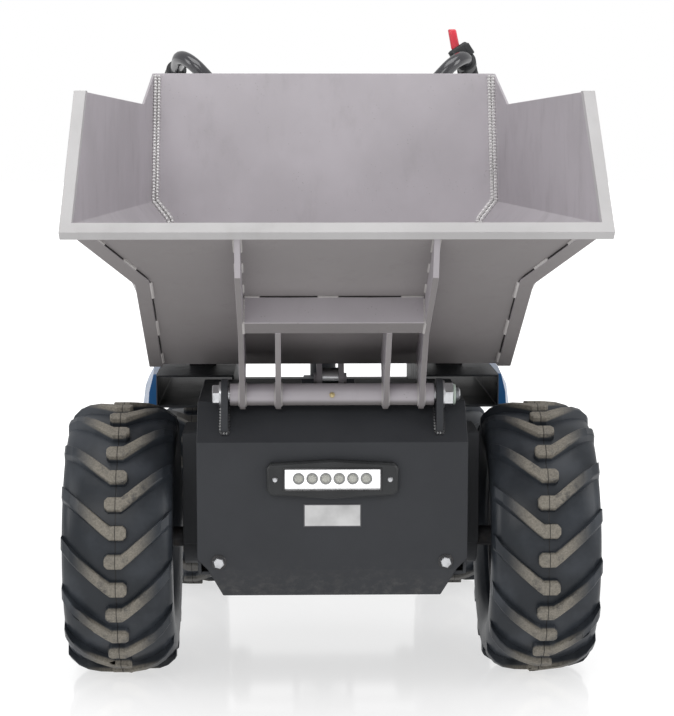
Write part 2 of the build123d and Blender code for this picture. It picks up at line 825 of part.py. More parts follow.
with BuildPart() as fairing:
    add(fairing_body(0))
    add(fairing_body(fairing_wall), mode=Mode.SUBTRACT)
    for wheel_y, wheel_z, arch in (
        (front_axle_y, front_axle_z, front_arch_radius),
        (rear_axle_y, rear_axle_z, rear_arch_radius),
    ):
        with BuildSketch(Plane.YZ.offset(tray_outer_x - 20.0)):
            with Locations((wheel_y, wheel_z)):
                Circle(arch)
        extrude(amount=80.0, mode=Mode.SUBTRACT)
with BuildPart() as side_fairings:
    add(fairing.part)
    mirror(about=Plane.YZ)
write(side_fairings.part, "side_fairings")

# The spine runs back from the tub and ends in the tow plate.
column_radius = stem_radius + running_gap + column_wall
spine_end_y = rear_axle_y + spine_overhang
with BuildPart() as spine:
    with BuildSketch(Plane.XZ.offset(-tub_end_y)):
        with Locations((0, (spine_bottom_z + spine_top_z) / 2)):
            Rectangle(2 * spine_half, spine_top_z - spine_bottom_z)
            Rectangle(
                2 * (spine_half - spine_wall), spine_top_z - spine_bottom_z - 2 * spine_wall, mode=Mode.SUBTRACT
            )
    extrude(amount=-(spine_end_y - tub_end_y))
    with BuildSketch(Plane.XY.offset(spine_bottom_z + spine_wall)):
        with Locations((0, spine_end_y + tow_reach / 2 - tow_lap / 2)):
            Rectangle(tow_width, tow_reach + tow_lap)
        with Locations((0, spine_end_y + tow_reach - tow_hole_back)):
            Circle(tow_hole_radius, mode=Mode.SUBTRACT)
    extrude(amount=tow_thickness)
    with BuildSketch(Plane.XY.offset(spine_bottom_z)):
        with Locations((0, rear_axle_y)):
            Circle(column_radius + weld_gap)
    extrude(amount=spine_top_z - spine_bottom_z, mode=Mode.SUBTRACT)
write(spine.part, "spine")

# The steering column stands through the spine.
with BuildPart() as steering_column:
    with BuildSketch(Plane.XY.offset(spine_bottom_z)):
        with Locations((0, rear_axle_y)):
            Circle(column_radius)
            Circle(stem_radius + running_gap, mode=Mode.SUBTRACT)
    extrude(amount=column_top_z - spine_bottom_z)
write(steering_column.part, "steering_column")

# The deck's cross beam lies under the trays' ends, against the column.
with BuildPart() as deck_beam_bar:
    with BuildSketch(Plane.XY.offset(tray_bottom_z - deck_beam)):
        with Locations((0, tray_end_y - deck_beam / 2)):
            Rectangle(2 * tray_outer_x - deck_beam_short, deck_beam)
        with Locations((0, tray_end_y + deck_plate / 2)):
            Rectangle(deck_plate_width, deck_plate)
        with Locations((0, rear_axle_y)):
            Circle(column_radius + weld_gap, mode=Mode.SUBTRACT)
    extrude(amount=deck_beam)
write(deck_beam_bar.part, "deck_beam")

# Controller box on the spine, with cooling fins on its top.
with BuildPart() as controller_box:
    with BuildSketch(Plane.XY.offset(spine_top_z)):
        with Locations((0, controller_y)):
            RectangleRounded(controller_width, controller_length, 6.0)
    extrude(amount=controller_height)
    with BuildSketch(Plane.XY.offset(spine_top_z + controller_height)):
        with Locations((0, controller_y)):
            with GridLocations(fin_pitch, 0, fin_count, 1):
                Rectangle(fin_thickness, controller_length - 16.0)
    extrude(amount=fin_height)
write(controller_box.part, "controller_box")

# ---- rear axle, knuckles and steering -----------------------------------------------------------------
arm_bottom_z = rear_axle_z + beam_half_height + 0.5
arm_top_z = arm_bottom_z + arm_thickness
with BuildPart() as rear_axle:
    with BuildSketch(Plane.XY.offset(rear_axle_z - beam_half_height)):
        with Locations((0, rear_axle_y)):
            Rectangle(2 * (king_pin_x - beam_set_back), 2 * beam_half_depth)
        with Locations((king_pin_x, rear_axle_y), (-king_pin_x, rear_axle_y)):
            Circle(boss_radius)
            Circle(king_pin_radius + running_gap, mode=Mode.SUBTRACT)
    extrude(amount=2 * beam_half_height)
    with BuildSketch(Plane.XY.offset(rear_axle_z + beam_half_height)):
        with Locations((mount_plate_x, rear_axle_y), (-mount_plate_x, rear_axle_y)):
            Rectangle(mount_plate, 2 * beam_half_depth)
    extrude(amount=spine_bottom_z - rear_axle_z - beam_half_height)
write(rear_axle.part, "rear_axle")

rear_spindle_end = rear_wheel_x + hub_cap_x - spindle_short
with BuildPart() as knuckle:
    for eye_bottom in (arm_bottom_z, 2 * rear_axle_z - arm_top_z):
        with BuildSketch(Plane.XY.offset(eye_bottom)):
            with Locations((king_pin_x, rear_axle_y)):
                Circle(boss_radius)
            with Locations((king_pin_x + knuckle_reach / 2, rear_axle_y)):
                Rectangle(knuckle_reach, 2 * boss_radius)
        extrude(amount=arm_thickness)
    with BuildSketch(Plane.XY.offset(arm_bottom_z)):
        with BuildLine():
            Polyline(
                (king_pin_x - boss_radius, rear_axle_y),
                (king_pin_x - arm_end_radius, rear_axle_y - arm_length),
                (king_pin_x + arm_end_radius, rear_axle_y - arm_length),
                (king_pin_x + boss_radius, rear_axle_y),
                close=True,
            )
        make_face()
        with Locations((king_pin_x, rear_axle_y - arm_length)):
            Circle(arm_end_radius)
            Circle(link_pin_radius + link_gap, mode=Mode.SUBTRACT)
    extrude(amount=arm_thickness)
    with BuildSketch(Plane.YZ.offset(king_pin_x + knuckle_reach - arm_thickness)):
        with Locations((rear_axle_y, rear_axle_z)):
            Rectangle(2 * boss_radius, 2 * (arm_top_z - rear_axle_z))
    extrude(amount=arm_thickness)
    with BuildSketch(Plane.YZ.offset(king_pin_x + knuckle_reach)):
        with Locations((rear_axle_y, rear_axle_z)):
            Circle(spindle_radius)
    extrude(amount=rear_spindle_end - king_pin_x - knuckle_reach)
    with BuildSketch(Plane.XY.offset(2 * rear_axle_z - arm_top_z - king_pin_end)):
        with Locations((king_pin_x, rear_axle_y)):
            Circle(king_pin_radius)
    extrude(amount=2 * (arm_top_z - rear_axle_z + king_pin_end))
write(knuckle.part, "knuckle_right")
write(mirror(knuckle.part, about=Plane.YZ), "knuckle_left")

# Stem: a shaft through the column, the steering arm at its foot, and the handlebar's clamp on top.
bar_y = rear_axle_y - bar_ahead
with BuildPart() as stem:
    with BuildSketch(Plane.XY.offset(arm_bottom_z)):
        with Locations((0, rear_axle_y)):
            Circle(stem_radius)
    extrude(amount=bar_z - arm_bottom_z)
    with BuildSketch(Plane.XY.offset(arm_bottom_z)):
        with BuildLine():
            Polyline(
                (-stem_radius, rear_axle_y),
                (-arm_end_radius, rear_axle_y - arm_length),
                (arm_end_radius, rear_axle_y - arm_length),
                (stem_radius, rear_axle_y),
                close=True,
            )
        make_face()
        with Locations((0, rear_axle_y - arm_length)):
            Circle(arm_end_radius)
            Circle(link_pin_radius + running_gap, mode=Mode.SUBTRACT)
    extrude(amount=arm_thickness)
    with BuildSketch(Plane.XY.offset(column_top_z + 0.5)):
        with Locations((0, rear_axle_y)):
            Circle(column_radius + 3.0)
    extrude(amount=14.0)
    with BuildSketch(Plane.XY.offset(bar_z - clamp_half)):
        with Locations((0, (rear_axle_y + bar_y) / 2)):
            Rectangle(2 * clamp_half, bar_ahead + 2 * clamp_half)
    extrude(amount=2 * clamp_half)
    with BuildSketch(Plane.YZ.offset(-clamp_half)):
        with Locations((bar_y, bar_z)):
            Circle(bar_radius + weld_gap)
    extrude(amount=2 * clamp_half, mode=Mode.SUBTRACT)
write(stem.part, "stem")

with BuildPart() as tie_rod:
    with BuildSketch(Plane.XY.offset(arm_top_z + 0.5)):
        with Locations((0, rear_axle_y - arm_length)):
            SlotOverall(2 * (king_pin_x + arm_end_radius), 2 * arm_end_radius)
    extrude(amount=tie_thickness)
    with BuildSketch(Plane.XY.offset(arm_bottom_z)):
        with Locations((0, rear_axle_y - arm_length)):
            with GridLocations(king_pin_x, 0, 3, 1):
                Circle(link_pin_radius)
    extrude(amount=arm_thickness + 1.0)
write(tie_rod.part, "tie_rod")

# Handlebar: one bent tube, low in the middle, up to a hump on each side and back to the grips.
bar_points = [
    (-grip_x, rear_axle_y + grip_behind, grip_z),
    (-hump_x, bar_y, hump_z),
    (-bar_straight, bar_y, bar_z),
    (bar_straight, bar_y, bar_z),
    (hump_x, bar_y, hump_z),
    (grip_x, rear_axle_y + grip_behind, grip_z),
]
with BuildPart() as handlebar:
    with BuildLine() as bar_path:
        Polyline(*bent(bar_points, bar_bend, bar_chords))
    with BuildSketch(Plane(origin=bar_path.line @ 0, z_dir=bar_path.line % 0)):
        RegularPolygon(bar_radius, bar_facets)
    sweep(transition=Transition.RIGHT)
write(handlebar.part, "handlebar")

grip_axis = (Vector(*bar_points[-1]) - Vector(*bar_points[-2])).normalized()
with BuildPart() as grip:
    with BuildSketch(Plane(origin=Vector(*bar_points[-1]) + grip_axis * grip_cap, z_dir=grip_axis * -1)):
        Circle(grip_radius)
    extrude(amount=grip_length)
    with BuildSketch(Plane(origin=Vector(*bar_points[-1]) + grip_axis * weld_gap, z_dir=grip_axis * -1)):
        Circle(bar_radius + weld_gap)
    extrude(amount=grip_length, mode=Mode.SUBTRACT)
with BuildPart() as grips:
    add(grip.part)
    mirror(about=Plane.YZ)
write(grips.part, "grips")


def on_grip(back):
    """A point on the grip's axis, this far back from the bar's end."""
    return Vector(*bar_points[-1]) - grip_axis * back


grip_side = grip_axis.cross(Vector(0, 0, 1)).normalized()
grip_up = grip_side.cross(grip_axis)
lever_back = grip_length + lever_gap

# Brake lever: a clamp round the bar ahead of the grip, and a blade under the grip.
with BuildPart() as brake_lever:
    with BuildSketch(Plane(origin=on_grip(lever_back), z_dir=grip_axis * -1)):
        Circle(bar_radius + 6.0)
        Circle(bar_radius + weld_gap, mode=Mode.SUBTRACT)
    extrude(amount=lever_clamp)
    blade_plane = Plane(origin=on_grip(lever_back + lever_clamp / 2), x_dir=grip_axis, z_dir=grip_up)
    with BuildSketch(blade_plane.offset(-grip_radius - lever_drop)):
        with BuildLine():
            Polyline((-9.0, -9.0), (20.0, -9.0), (110.0, -5.0), (110.0, 5.0), (20.0, 9.0), (-9.0, 9.0), close=True)
        make_face()
    extrude(amount=lever_blade)
    with BuildSketch(blade_plane.offset(-grip_radius - lever_drop)):
        Rectangle(16.0, 14.0)
    extrude(amount=grip_radius + lever_drop - bar_radius - 2.0)

# The tipping lever stands on a switch block that is clamped behind the right hump.
hump_axis = (Vector(*bar_points[-3]) - Vector(*bar_points[-2])).normalized()
hump_turn = pi - acos(hump_axis.dot(grip_axis))
switch_place = bar_bend * tan(hump_turn / 2) + switch_gap
switch_plane = Plane(origin=Vector(*bar_points[-2]) + grip_axis * switch_place, z_dir=grip_axis)
switch_middle = Vector(*bar_points[-2]) + grip_axis * (switch_place + switch_length / 2)
switch_top = switch_middle.Z + bar_radius + switch_wall + switch_rise
with BuildPart() as bar_controls:
    add(brake_lever.part)
    mirror(about=Plane.YZ)
    with BuildSketch(switch_plane):
        Circle(bar_radius + switch_wall)
    extrude(amount=switch_length)
    with BuildSketch(Plane.XY.offset(switch_middle.Z)):
        with Locations((switch_middle.X - switch_shift, switch_middle.Y)):
            RectangleRounded(switch_width, switch_length, 4.0)
    extrude(amount=switch_top - switch_middle.Z)
    with BuildSketch(switch_plane.offset(-switch_length)):
        Circle(bar_radius + weld_gap)
    extrude(amount=3 * switch_length, mode=Mode.SUBTRACT)
write(bar_controls.part, "bar_controls")

# Columns: height over the switch block, half-width, half-depth, cut corner.
lever_stations = [(0.0, 7.5, 7.0, 2.0), (tip_lever_length - 4.0, 6.5, 6.0, 2.0), (tip_lever_length, 4.5, 4.0, 1.5)]
lever_sections = []
for height, half_width, half_depth, cut in lever_stations:
    corner = [(half_width, half_depth - cut), (half_width - cut, half_depth)]
    outline = corner + [(-x, y) for x, y in reversed(corner)]
    outline += [(-x, -y) for x, y in outline]
    middle_x = switch_middle.X - tip_lever_shift - tip_lever_lean * height
    middle = Vector(middle_x, switch_middle.Y, switch_top + height)
    lever_sections.append([middle + Vector(x, y, 0) for x, y in outline])
with BuildPart() as tip_lever:
    add(flat_sided(lever_sections))
write(tip_lever.part, "tip_lever")

# A control cable on each side: from under the lever's clamp, beneath the bar and down behind it to the console.
cable_under = bar_radius + cable_radius + cable_room
cable_past_switch = cable_under + switch_wall
bar_under = Vector(-hump_axis.Z, 0, hump_axis.X)


def along_bar(from_hump, below):
    """A point beneath the bar, this far back from its hump's corner."""
    return Vector(*bar_points[-2]) + grip_axis * from_hump - grip_up * below


def down_bar(from_hump, below, behind):
    """A point beside the bar's slope, this far down from its hump's corner."""
    return Vector(*bar_points[-2]) + hump_axis * from_hump + bar_under * below + Vector(0, behind, 0)


cable_start = on_grip(lever_back + lever_clamp + weld_gap) - grip_up * (bar_radius + cable_radius + 0.2)
cable_points = [
    cable_start,
    cable_start - grip_axis * 10.0,
    along_bar(switch_place + switch_length, cable_past_switch),
    along_bar(switch_place - 6.0, cable_past_switch),
    down_bar(46.0, cable_under, 8.0),
    down_bar(108.0, cable_under, 8.0),
    Vector(bar_straight - 40.0, bar_y + cable_under + 6.0, bar_z - 4.0),
    Vector(cable_x, cable_y, bar_z + 8.0),
    Vector(cable_x, cable_y, console_z + console_height),
]
with BuildPart() as cable:
    with BuildLine() as cable_path:
        Polyline(*bent([tuple(point) for point in cable_points], cable_bend, 2))
    with BuildSketch(Plane(origin=cable_path.line @ 0, z_dir=cable_path.line % 0)):
        RegularPolygon(cable_radius, 6)
    sweep(transition=Transition.RIGHT)
with BuildPart() as control_cables:
    add(cable.part)
    mirror(about=Plane.YZ)
write(control_cables.part, "control_cables")

with BuildPart() as console:
    with BuildSketch(Plane.XY.offset(console_z)):
        with Locations((0, rear_axle_y + stem_radius + console_depth / 2 + seat_gap)):
            RectangleRounded(console_width, console_depth, 10.0)
    extrude(amount=console_height)
write(console.part, "console")

# ---- tipping ram --------------------------------------------------------------------------------------
ram_run, ram_rise = ram_eye_y - ram_base_y, ram_eye_z - ram_base_z
ram_length = hypot(ram_run, ram_rise)
ram_line = Plane(origin=(0, ram_base_y, ram_base_z), x_dir=(1, 0, 0), z_dir=(0, ram_run, ram_rise))
eye_half = clevis_inner - 0.5
barrel_end = ram_length - rod_out
with BuildPart() as ram_barrel:
    with BuildSketch(ram_line.offset(barrel_start)):
        Circle(barrel_radius)
    extrude(amount=barrel_end - barrel_start)
    with BuildSketch(ram_line.offset(barrel_start + barrel_wall * 2)):
        Circle(barrel_radius - barrel_wall)
    extrude(amount=barrel_end - barrel_start - barrel_wall * 2 - gland, mode=Mode.SUBTRACT)
    with BuildSketch(ram_line.offset(barrel_start + barrel_wall)):
        Circle(rod_radius + running_gap)
    extrude(amount=barrel_end - barrel_start, mode=Mode.SUBTRACT)
    with BuildSketch(Plane.YZ.offset(-eye_half)):
        with Locations(ram_base):
            Circle(ram_eye_radius)
            with Locations(Location((0, 0, 0), degrees(atan2(ram_rise, ram_run)))):
                with Locations((barrel_start / 2 + 1.0, 0)):
                    Rectangle(barrel_start + 2.0, 24.0)
            Circle(ram_pin_radius + running_gap, mode=Mode.SUBTRACT)
    extrude(amount=2 * eye_half)
write(ram_barrel.part, "ram_barrel")

with BuildPart() as ram_rod:
    with BuildSketch(ram_line.offset(barrel_start + barrel_wall * 2 + 4.0)):
        Circle(rod_radius)
    extrude(amount=ram_length - barrel_start - barrel_wall * 2 - 4.0 - ram_eye_radius / 2)
    with BuildSketch(ram_line.offset(barrel_start + barrel_wall * 2 + 4.0)):
        Circle(barrel_radius - barrel_wall - 0.2)
    extrude(amount=14.0)
    with BuildSketch(Plane.YZ.offset(-eye_half)):
        with Locations(ram_eye):
            Circle(ram_eye_radius)
    extrude(amount=2 * eye_half)
    with BuildSketch(Plane.YZ.offset(-eye_half)):
        with Locations(ram_eye):
            Circle(ram_pin_radius + link_gap)
    extrude(amount=2 * eye_half, mode=Mode.SUBTRACT)
write(ram_rod.part, "ram_rod")


# ---- wheels -------------------------------------------------------------------------------------------
# Half of the tyre's outline. Columns: share of the half-width, share of the height from rim to crown.
tyre_outline = [(0.68, 0.0), (0.70, 0.12), (0.98, 0.46), (0.95, 0.78), (0.58, 0.965), (0.0, 1.0)]
bead_share = tyre_outline[1][0]
# The outer stations of a lug. Columns: share of the half-width, then of the radius: the top, and how far it trails.
front_lug_stations = [(0.62, 0.98, 0.182), (0.955, 0.895, 0.305)]
rear_lug_stations = [(0.955, 0.93, 0.30)]


def polar(across, radius, turn):
    """A point round the wheel's axis."""
    return (across, radius * cos(turn), radius * sin(turn))


def tyre_lug(radius, half_width, height, lug_stations):
    """One lug of the tread, from past the tread's middle to its right shoulder, at turn 0."""
    stations = [(-lug_overlap, radius, 0.0)]
    stations += [(share * half_width, top * radius, trail * radius) for share, top, trail in lug_stations]
    sections = []
    for across, top, trail in stations:
        foot = top - height - lug_root
        turn = -trail / top
        half_top = lug_width / 2 / top
        half_foot = (lug_width / 2 + lug_flank) / foot
        corners = ((foot, turn - half_foot), (top, turn - half_top), (top, turn + half_top), (foot, turn + half_foot))
        sections.append([polar(across, r, angle) for r, angle in corners])
    return flat_sided(sections)


def tyre(radius, width, rim_radius, lugs, height, lug_stations, facets):
    """A tyre round the X axis: a faceted ring with two rows of lugs that point down at the front."""
    bead = (rim_radius + seat_gap) / cos(pi / facets)
    crown = radius - height
    half = [(share * width / 2, bead + rise * (crown - bead)) for share, rise in tyre_outline]
    outline = [(-across, r) for across, r in half] + [(across, r) for across, r in half[-2::-1]]
    pitch = 360.0 / lugs
    right_lug = tyre_lug(radius, width / 2, height, lug_stations)
    left_lug = mirror(right_lug, about=Plane.YZ)
    turns = [270.0 + pitch / 4 + count * pitch for count in range(lugs)]
    with BuildPart() as ring:
        add(turned(outline, facets))
        add([right_lug.rotate(Axis.X, turn) for turn in turns])
        add([left_lug.rotate(Axis.X, turn - pitch / 2) for turn in turns])
    return ring.part


def rim(width, rim_radius, window_count):
    """A pressed steel rim round the X axis, its disc towards +X, with hub, nuts and hub cap."""
    half = bead_share * width / 2 + seat_gap
    flange = rim_radius + rim_flange
    inner = rim_radius - rim_wall
    cone = disc_bend_share * rim_radius
    back = hub_cap_x - hub_length
    outline = [
        (half + rim_wall, inner),
        (half + rim_wall, flange),
        (half, flange),
        (half, rim_radius),
        (-half, rim_radius),
        (-half, flange),
        (-half - rim_wall, flange),
        (-half - rim_wall, inner),
        (disc_rim_x, inner),
        (disc_face_x, cone),
        (disc_face_x, hub_radius - 6.0),
        (back, hub_radius - 6.0),
        (back, spindle_radius / 2),
        (hub_cap_x, spindle_radius / 2),
        (hub_cap_x, hub_radius - 12.0),
        (disc_face_x + disc_wall, hub_radius - 8.0),
        (disc_face_x + disc_wall, cone),
        (disc_rim_x + disc_wall, inner),
    ]
    with BuildPart() as wheel:
        add(turned(outline, rim_facets))
        with BuildSketch(Plane.YZ.offset(hub_cap_x - hub_cap)):
            RegularPolygon(hub_radius - 14.0, rim_facets)
        extrude(amount=hub_cap)
        with BuildSketch(Plane.YZ.offset(back)):
            Circle(spindle_radius + running_gap)
        extrude(amount=hub_length - hub_cap, mode=Mode.SUBTRACT)
        with BuildSketch(Plane.YZ.offset(disc_face_x)):
            with PolarLocations((hub_radius + cone) / 2, 4):
                RegularPolygon(nut_radius, 6)
        extrude(amount=disc_wall + nut_height_rim)
        with BuildSketch(Plane.YZ.offset(disc_face_x - disc_wall)):
            with PolarLocations(window_share * rim_radius, window_count, start_angle=45.0):
                RegularPolygon(window_radius_share * rim_radius, 6)
        extrude(amount=disc_rim_x - disc_face_x + 3 * disc_wall, mode=Mode.SUBTRACT)
    return wheel.part


# Columns: name, tyre, rim, distance from the middle, axle's Y and Z.
front_tyre = tyre(
    front_tyre_radius,
    front_tyre_width,
    front_rim_radius,
    front_lugs,
    front_lug_height,
    front_lug_stations,
    front_facets,
)
rear_tyre = tyre(
    rear_tyre_radius,
    rear_tyre_width,
    rear_rim_radius,
    rear_lugs,
    rear_lug_height,
    rear_lug_stations,
    rear_facets,
)
front_rim = rim(front_tyre_width, front_rim_radius, 4)
rear_rim = rim(rear_tyre_width, rear_rim_radius, 4)
for end_name, tyre_part, rim_part, wheel_x, axle_y, axle_z in (
    ("front", front_tyre, front_rim, front_wheel_x, front_axle_y, front_axle_z),
    ("rear", rear_tyre, rear_rim, rear_wheel_x, rear_axle_y, rear_axle_z),
):
    for piece_name, piece in (("tyre", tyre_part), ("rim", rim_part)):
        placed = piece.moved(Location((wheel_x, axle_y, axle_z)))
        write(placed, piece_name + "_" + end_name + "_right")
        write(mirror(placed, about=Plane.YZ), piece_name + "_" + end_name + "_left")
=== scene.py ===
import json
import logging
from dataclasses import dataclass, field
from enum import Enum
from math import cos, hypot, pi, radians, sin, tan

import bmesh
import bpy
from mathutils import Matrix, Vector


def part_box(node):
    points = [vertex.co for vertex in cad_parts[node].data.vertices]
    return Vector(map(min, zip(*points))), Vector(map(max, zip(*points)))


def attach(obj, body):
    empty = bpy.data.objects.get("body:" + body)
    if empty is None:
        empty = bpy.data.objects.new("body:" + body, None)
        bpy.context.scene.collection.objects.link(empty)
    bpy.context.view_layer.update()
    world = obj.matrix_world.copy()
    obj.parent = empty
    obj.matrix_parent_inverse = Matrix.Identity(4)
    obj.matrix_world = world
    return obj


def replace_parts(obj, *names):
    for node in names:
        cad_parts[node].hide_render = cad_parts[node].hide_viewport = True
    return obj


LOG = logging.getLogger("dumper")
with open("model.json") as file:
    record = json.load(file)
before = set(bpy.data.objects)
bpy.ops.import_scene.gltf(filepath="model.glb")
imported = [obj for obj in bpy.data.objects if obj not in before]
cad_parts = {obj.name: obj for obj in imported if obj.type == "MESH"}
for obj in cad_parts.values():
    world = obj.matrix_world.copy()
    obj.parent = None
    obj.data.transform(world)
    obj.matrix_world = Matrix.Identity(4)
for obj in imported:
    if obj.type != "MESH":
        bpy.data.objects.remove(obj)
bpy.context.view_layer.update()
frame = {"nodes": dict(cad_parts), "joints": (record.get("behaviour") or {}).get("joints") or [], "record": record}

Colour = tuple[float, float, float]
Point = tuple[float, float, float]
Outline = list[tuple[float, float]]

RIGHT = Vector((1.0, 0.0, 0.0))
AHEAD = Vector((0.0, -1.0, 0.0))
REAR = Vector((0.0, 1.0, 0.0))
UP = Vector((0.0, 0.0, 1.0))
# Faces that meet at less than this are shaded as one.
SMOOTH_LIMIT = radians(32.0)
# Points closer than this are one, in metres.
MERGE = 1e-6
# A weld bead's radius in its troughs, on its crests and at its ends, as shares.
TROUGH, CREST, BEAD_END = 0.76, 1.12, 0.5
BEAD_SIDES, RING_SIDES = 7, 8


class Body(Enum):
    """The moving parts that new pieces ride on, apart from the wheels."""

    SKIP = "skip"
    CHASSIS = "chassis"
    STEERING = "steering"


class Side(Enum):
    """The left and right halves, as a sign along X."""

    LEFT = -1
    RIGHT = 1


# ---- shader sockets as values -------------------------------------------------------------------------
class Signal:
    """A shader socket that takes part in Python expressions."""

    def __init__(self, nodes: "NodeMaker", socket: bpy.types.NodeSocket) -> None:
        """Hold a socket.

        Args:
            nodes: The maker of the tree that the socket is in.
            socket: The output socket.
        """
        self.nodes = nodes
        self.socket = socket

    def math(
        self, operation: str, *others: "Signal | float", first: "Signal | float | None" = None
    ) -> "Signal":
        """Add a Math node.

        Args:
            operation: The node's operation.
            others: What follows in its inputs.
            first: What goes first, where it isn't this value.

        Returns:
            The node's result.
        """
        values = [self if first is None else first, *others]
        return self.nodes.add("ShaderNodeMath", {"operation": operation}, dict(enumerate(values)))

    def __add__(self, other: "Signal | float") -> "Signal":
        """Add."""
        return self.math("ADD", other)

    __radd__ = __add__

    def __sub__(self, other: "Signal | float") -> "Signal":
        """Subtract."""
        return self.math("SUBTRACT", other)

    def __rsub__(self, other: "Signal | float") -> "Signal":
        """Subtract this from a number."""
        return self.math("SUBTRACT", self, first=other)

    def __mul__(self, other: "Signal | float") -> "Signal":
        """Multiply."""
        return self.math("MULTIPLY", other)

    __rmul__ = __mul__

    def __abs__(self) -> "Signal":
        """Take the size without the sign."""
        return self.math("ABSOLUTE")

    def step(self, low: float, high: float) -> "Signal":
        """Rise smoothly from 0 at low to 1 at high.

        Args:
            low: Where the rise starts.
            high: Where the rise ends.

        Returns:
            The risen value.
        """
        settings = {"interpolation_type": "SMOOTHSTEP"}
        values = {"Value": self, "From Min": low, "From Max": high}
        return self.nodes.add("ShaderNodeMapRange", settings, values)


class NodeMaker:
    """Adds nodes to one material's tree."""

    def __init__(self, material: bpy.types.Material) -> None:
        """Start from an empty tree.

        Args:
            material: The material to fill.
        """
        material.use_nodes = True
        self.tree = material.node_tree
        self.tree.nodes.clear()

    def node(self, kind: str, settings: dict[str, object], values: dict[int | str, object]) -> bpy.types.Node:
        """Add a node, set it up and then fill its inputs.

        Args:
            kind: The node's type.
            settings: Its settings, and the stops of a ramp.
            values: Numbers, colours or signals for its inputs, by name or place.

        Returns:
            The node.
        """
        made = self.tree.nodes.new(kind)
        for name, value in settings.items():
            if name == "stops":
                ramp = made.color_ramp
                while len(ramp.elements) < len(value):
                    ramp.elements.new(0.5)
                for element, (place, colour) in zip(ramp.elements, value):
                    element.position = place
                    element.color = (*colour, 1.0)
            else:
                setattr(made, name, value)
        for name, value in values.items():
            if isinstance(value, Signal):
                self.tree.links.new(value.socket, made.inputs[name])
            else:
                made.inputs[name].default_value = value
        return made

    def add(
        self, kind: str, settings: dict[str, object], values: dict[int | str, object], output: int | str = 0
    ) -> Signal:
        """Add a node and hand on one of its outputs.

        Args:
            kind: The node's type.
            settings: Its settings.
            values: What goes into its inputs.
            output: The name or place of the output.

        Returns:
            That output.
        """
        return Signal(self, self.node(kind, settings, values).outputs[output])

    def place(self, centre: Vector = Vector(), scale: Point = (1.0, 1.0, 1.0)) -> Signal:
        """Object coordinates, measured from a centre.

        Args:
            centre: Where zero lies, in metres.
            scale: What each direction is multiplied by, afterwards.

        Returns:
            The coordinates.
        """
        here = self.add("ShaderNodeTexCoord", {}, {}, "Object")
        shifted = self.add("ShaderNodeVectorMath", {"operation": "SUBTRACT"}, {0: here, 1: tuple(centre)})
        return self.add("ShaderNodeVectorMath", {"operation": "MULTIPLY"}, {0: shifted, 1: scale})

    def axes(self, vector: Signal) -> tuple[Signal, Signal, Signal]:
        """Split a vector into its three numbers."""
        split = self.node("ShaderNodeSeparateXYZ", {}, {0: vector})
        return tuple(Signal(self, socket) for socket in split.outputs)

    def noise(self, vector: Signal, scale: float, detail: float = 3.0, roughness: float = 0.5) -> Signal:
        """Soft noise from 0 to 1.

        Args:
            vector: Where it is read.
            scale: How many features fit in a metre.
            detail: How many finer layers it has.
            roughness: How strong the finer layers are.

        Returns:
            The noise.
        """
        values = {"Vector": vector, "Scale": scale, "Detail": detail, "Roughness": roughness}
        return self.add("ShaderNodeTexNoise", {}, values, "Fac")

    def cells(self, vector: Signal, scale: float) -> Signal:
        """Distance from the nearest of many scattered points.

        Args:
            vector: Where it is read.
            scale: How many points fit in a metre.

        Returns:
            The distance.
        """
        return self.add("ShaderNodeTexVoronoi", {}, {"Vector": vector, "Scale": scale}, "Distance")

    def blend(self, share: Signal | float, low: Signal | Colour, high: Signal | Colour) -> Signal:
        """Mix two colours.

        Args:
            share: How much of the second one there is.
            low: The first colour.
            high: The second colour.

        Returns:
            The mixed colour.
        """
        colours = [c if isinstance(c, Signal) else (*c, 1.0) for c in (low, high)]
        return self.add("ShaderNodeMix", {"data_type": "RGBA"}, {0: share, 6: colours[0], 7: colours[1]}, 2)

    def bump(self, height: Signal, depth: float, strength: float = 1.0) -> Signal:
        """Turn a height into a normal.

        Args:
            height: The height, from 0 to 1.
            depth: How far in metres that is.
            strength: How much of it shows.

        Returns:
            The normal.
        """
        return self.add("ShaderNodeBump", {}, {"Height": height, "Distance": depth, "Strength": strength})

    def surface(self, **values: object) -> None:
        """Make the surface from shader inputs; an underscore stands for a space in their names."""
        named = {name.replace("_", " "): value for name, value in values.items()}
        shader = self.add("ShaderNodeBsdfPrincipled", {}, named)
        self.node("ShaderNodeOutputMaterial", {}, {0: shader})


# ---- finishes -----------------------------------------------------------------------------------------
@dataclass(frozen=True)
class Finish:
    """What every finish has: a name and the record's slot."""

    name: str
    slot: str

    def build(self, nodes: NodeMaker) -> None:
        """Fill the material's tree."""
        raise NotImplementedError

    def material(self) -> bpy.types.Material:
        """Make the material, or find it where it is made already."""
        label = self.name + "_finish"
        made = bpy.data.materials.get(label)
        if made is None:
            made = bpy.data.materials.new(label)
            self.build(NodeMaker(made))
        return made


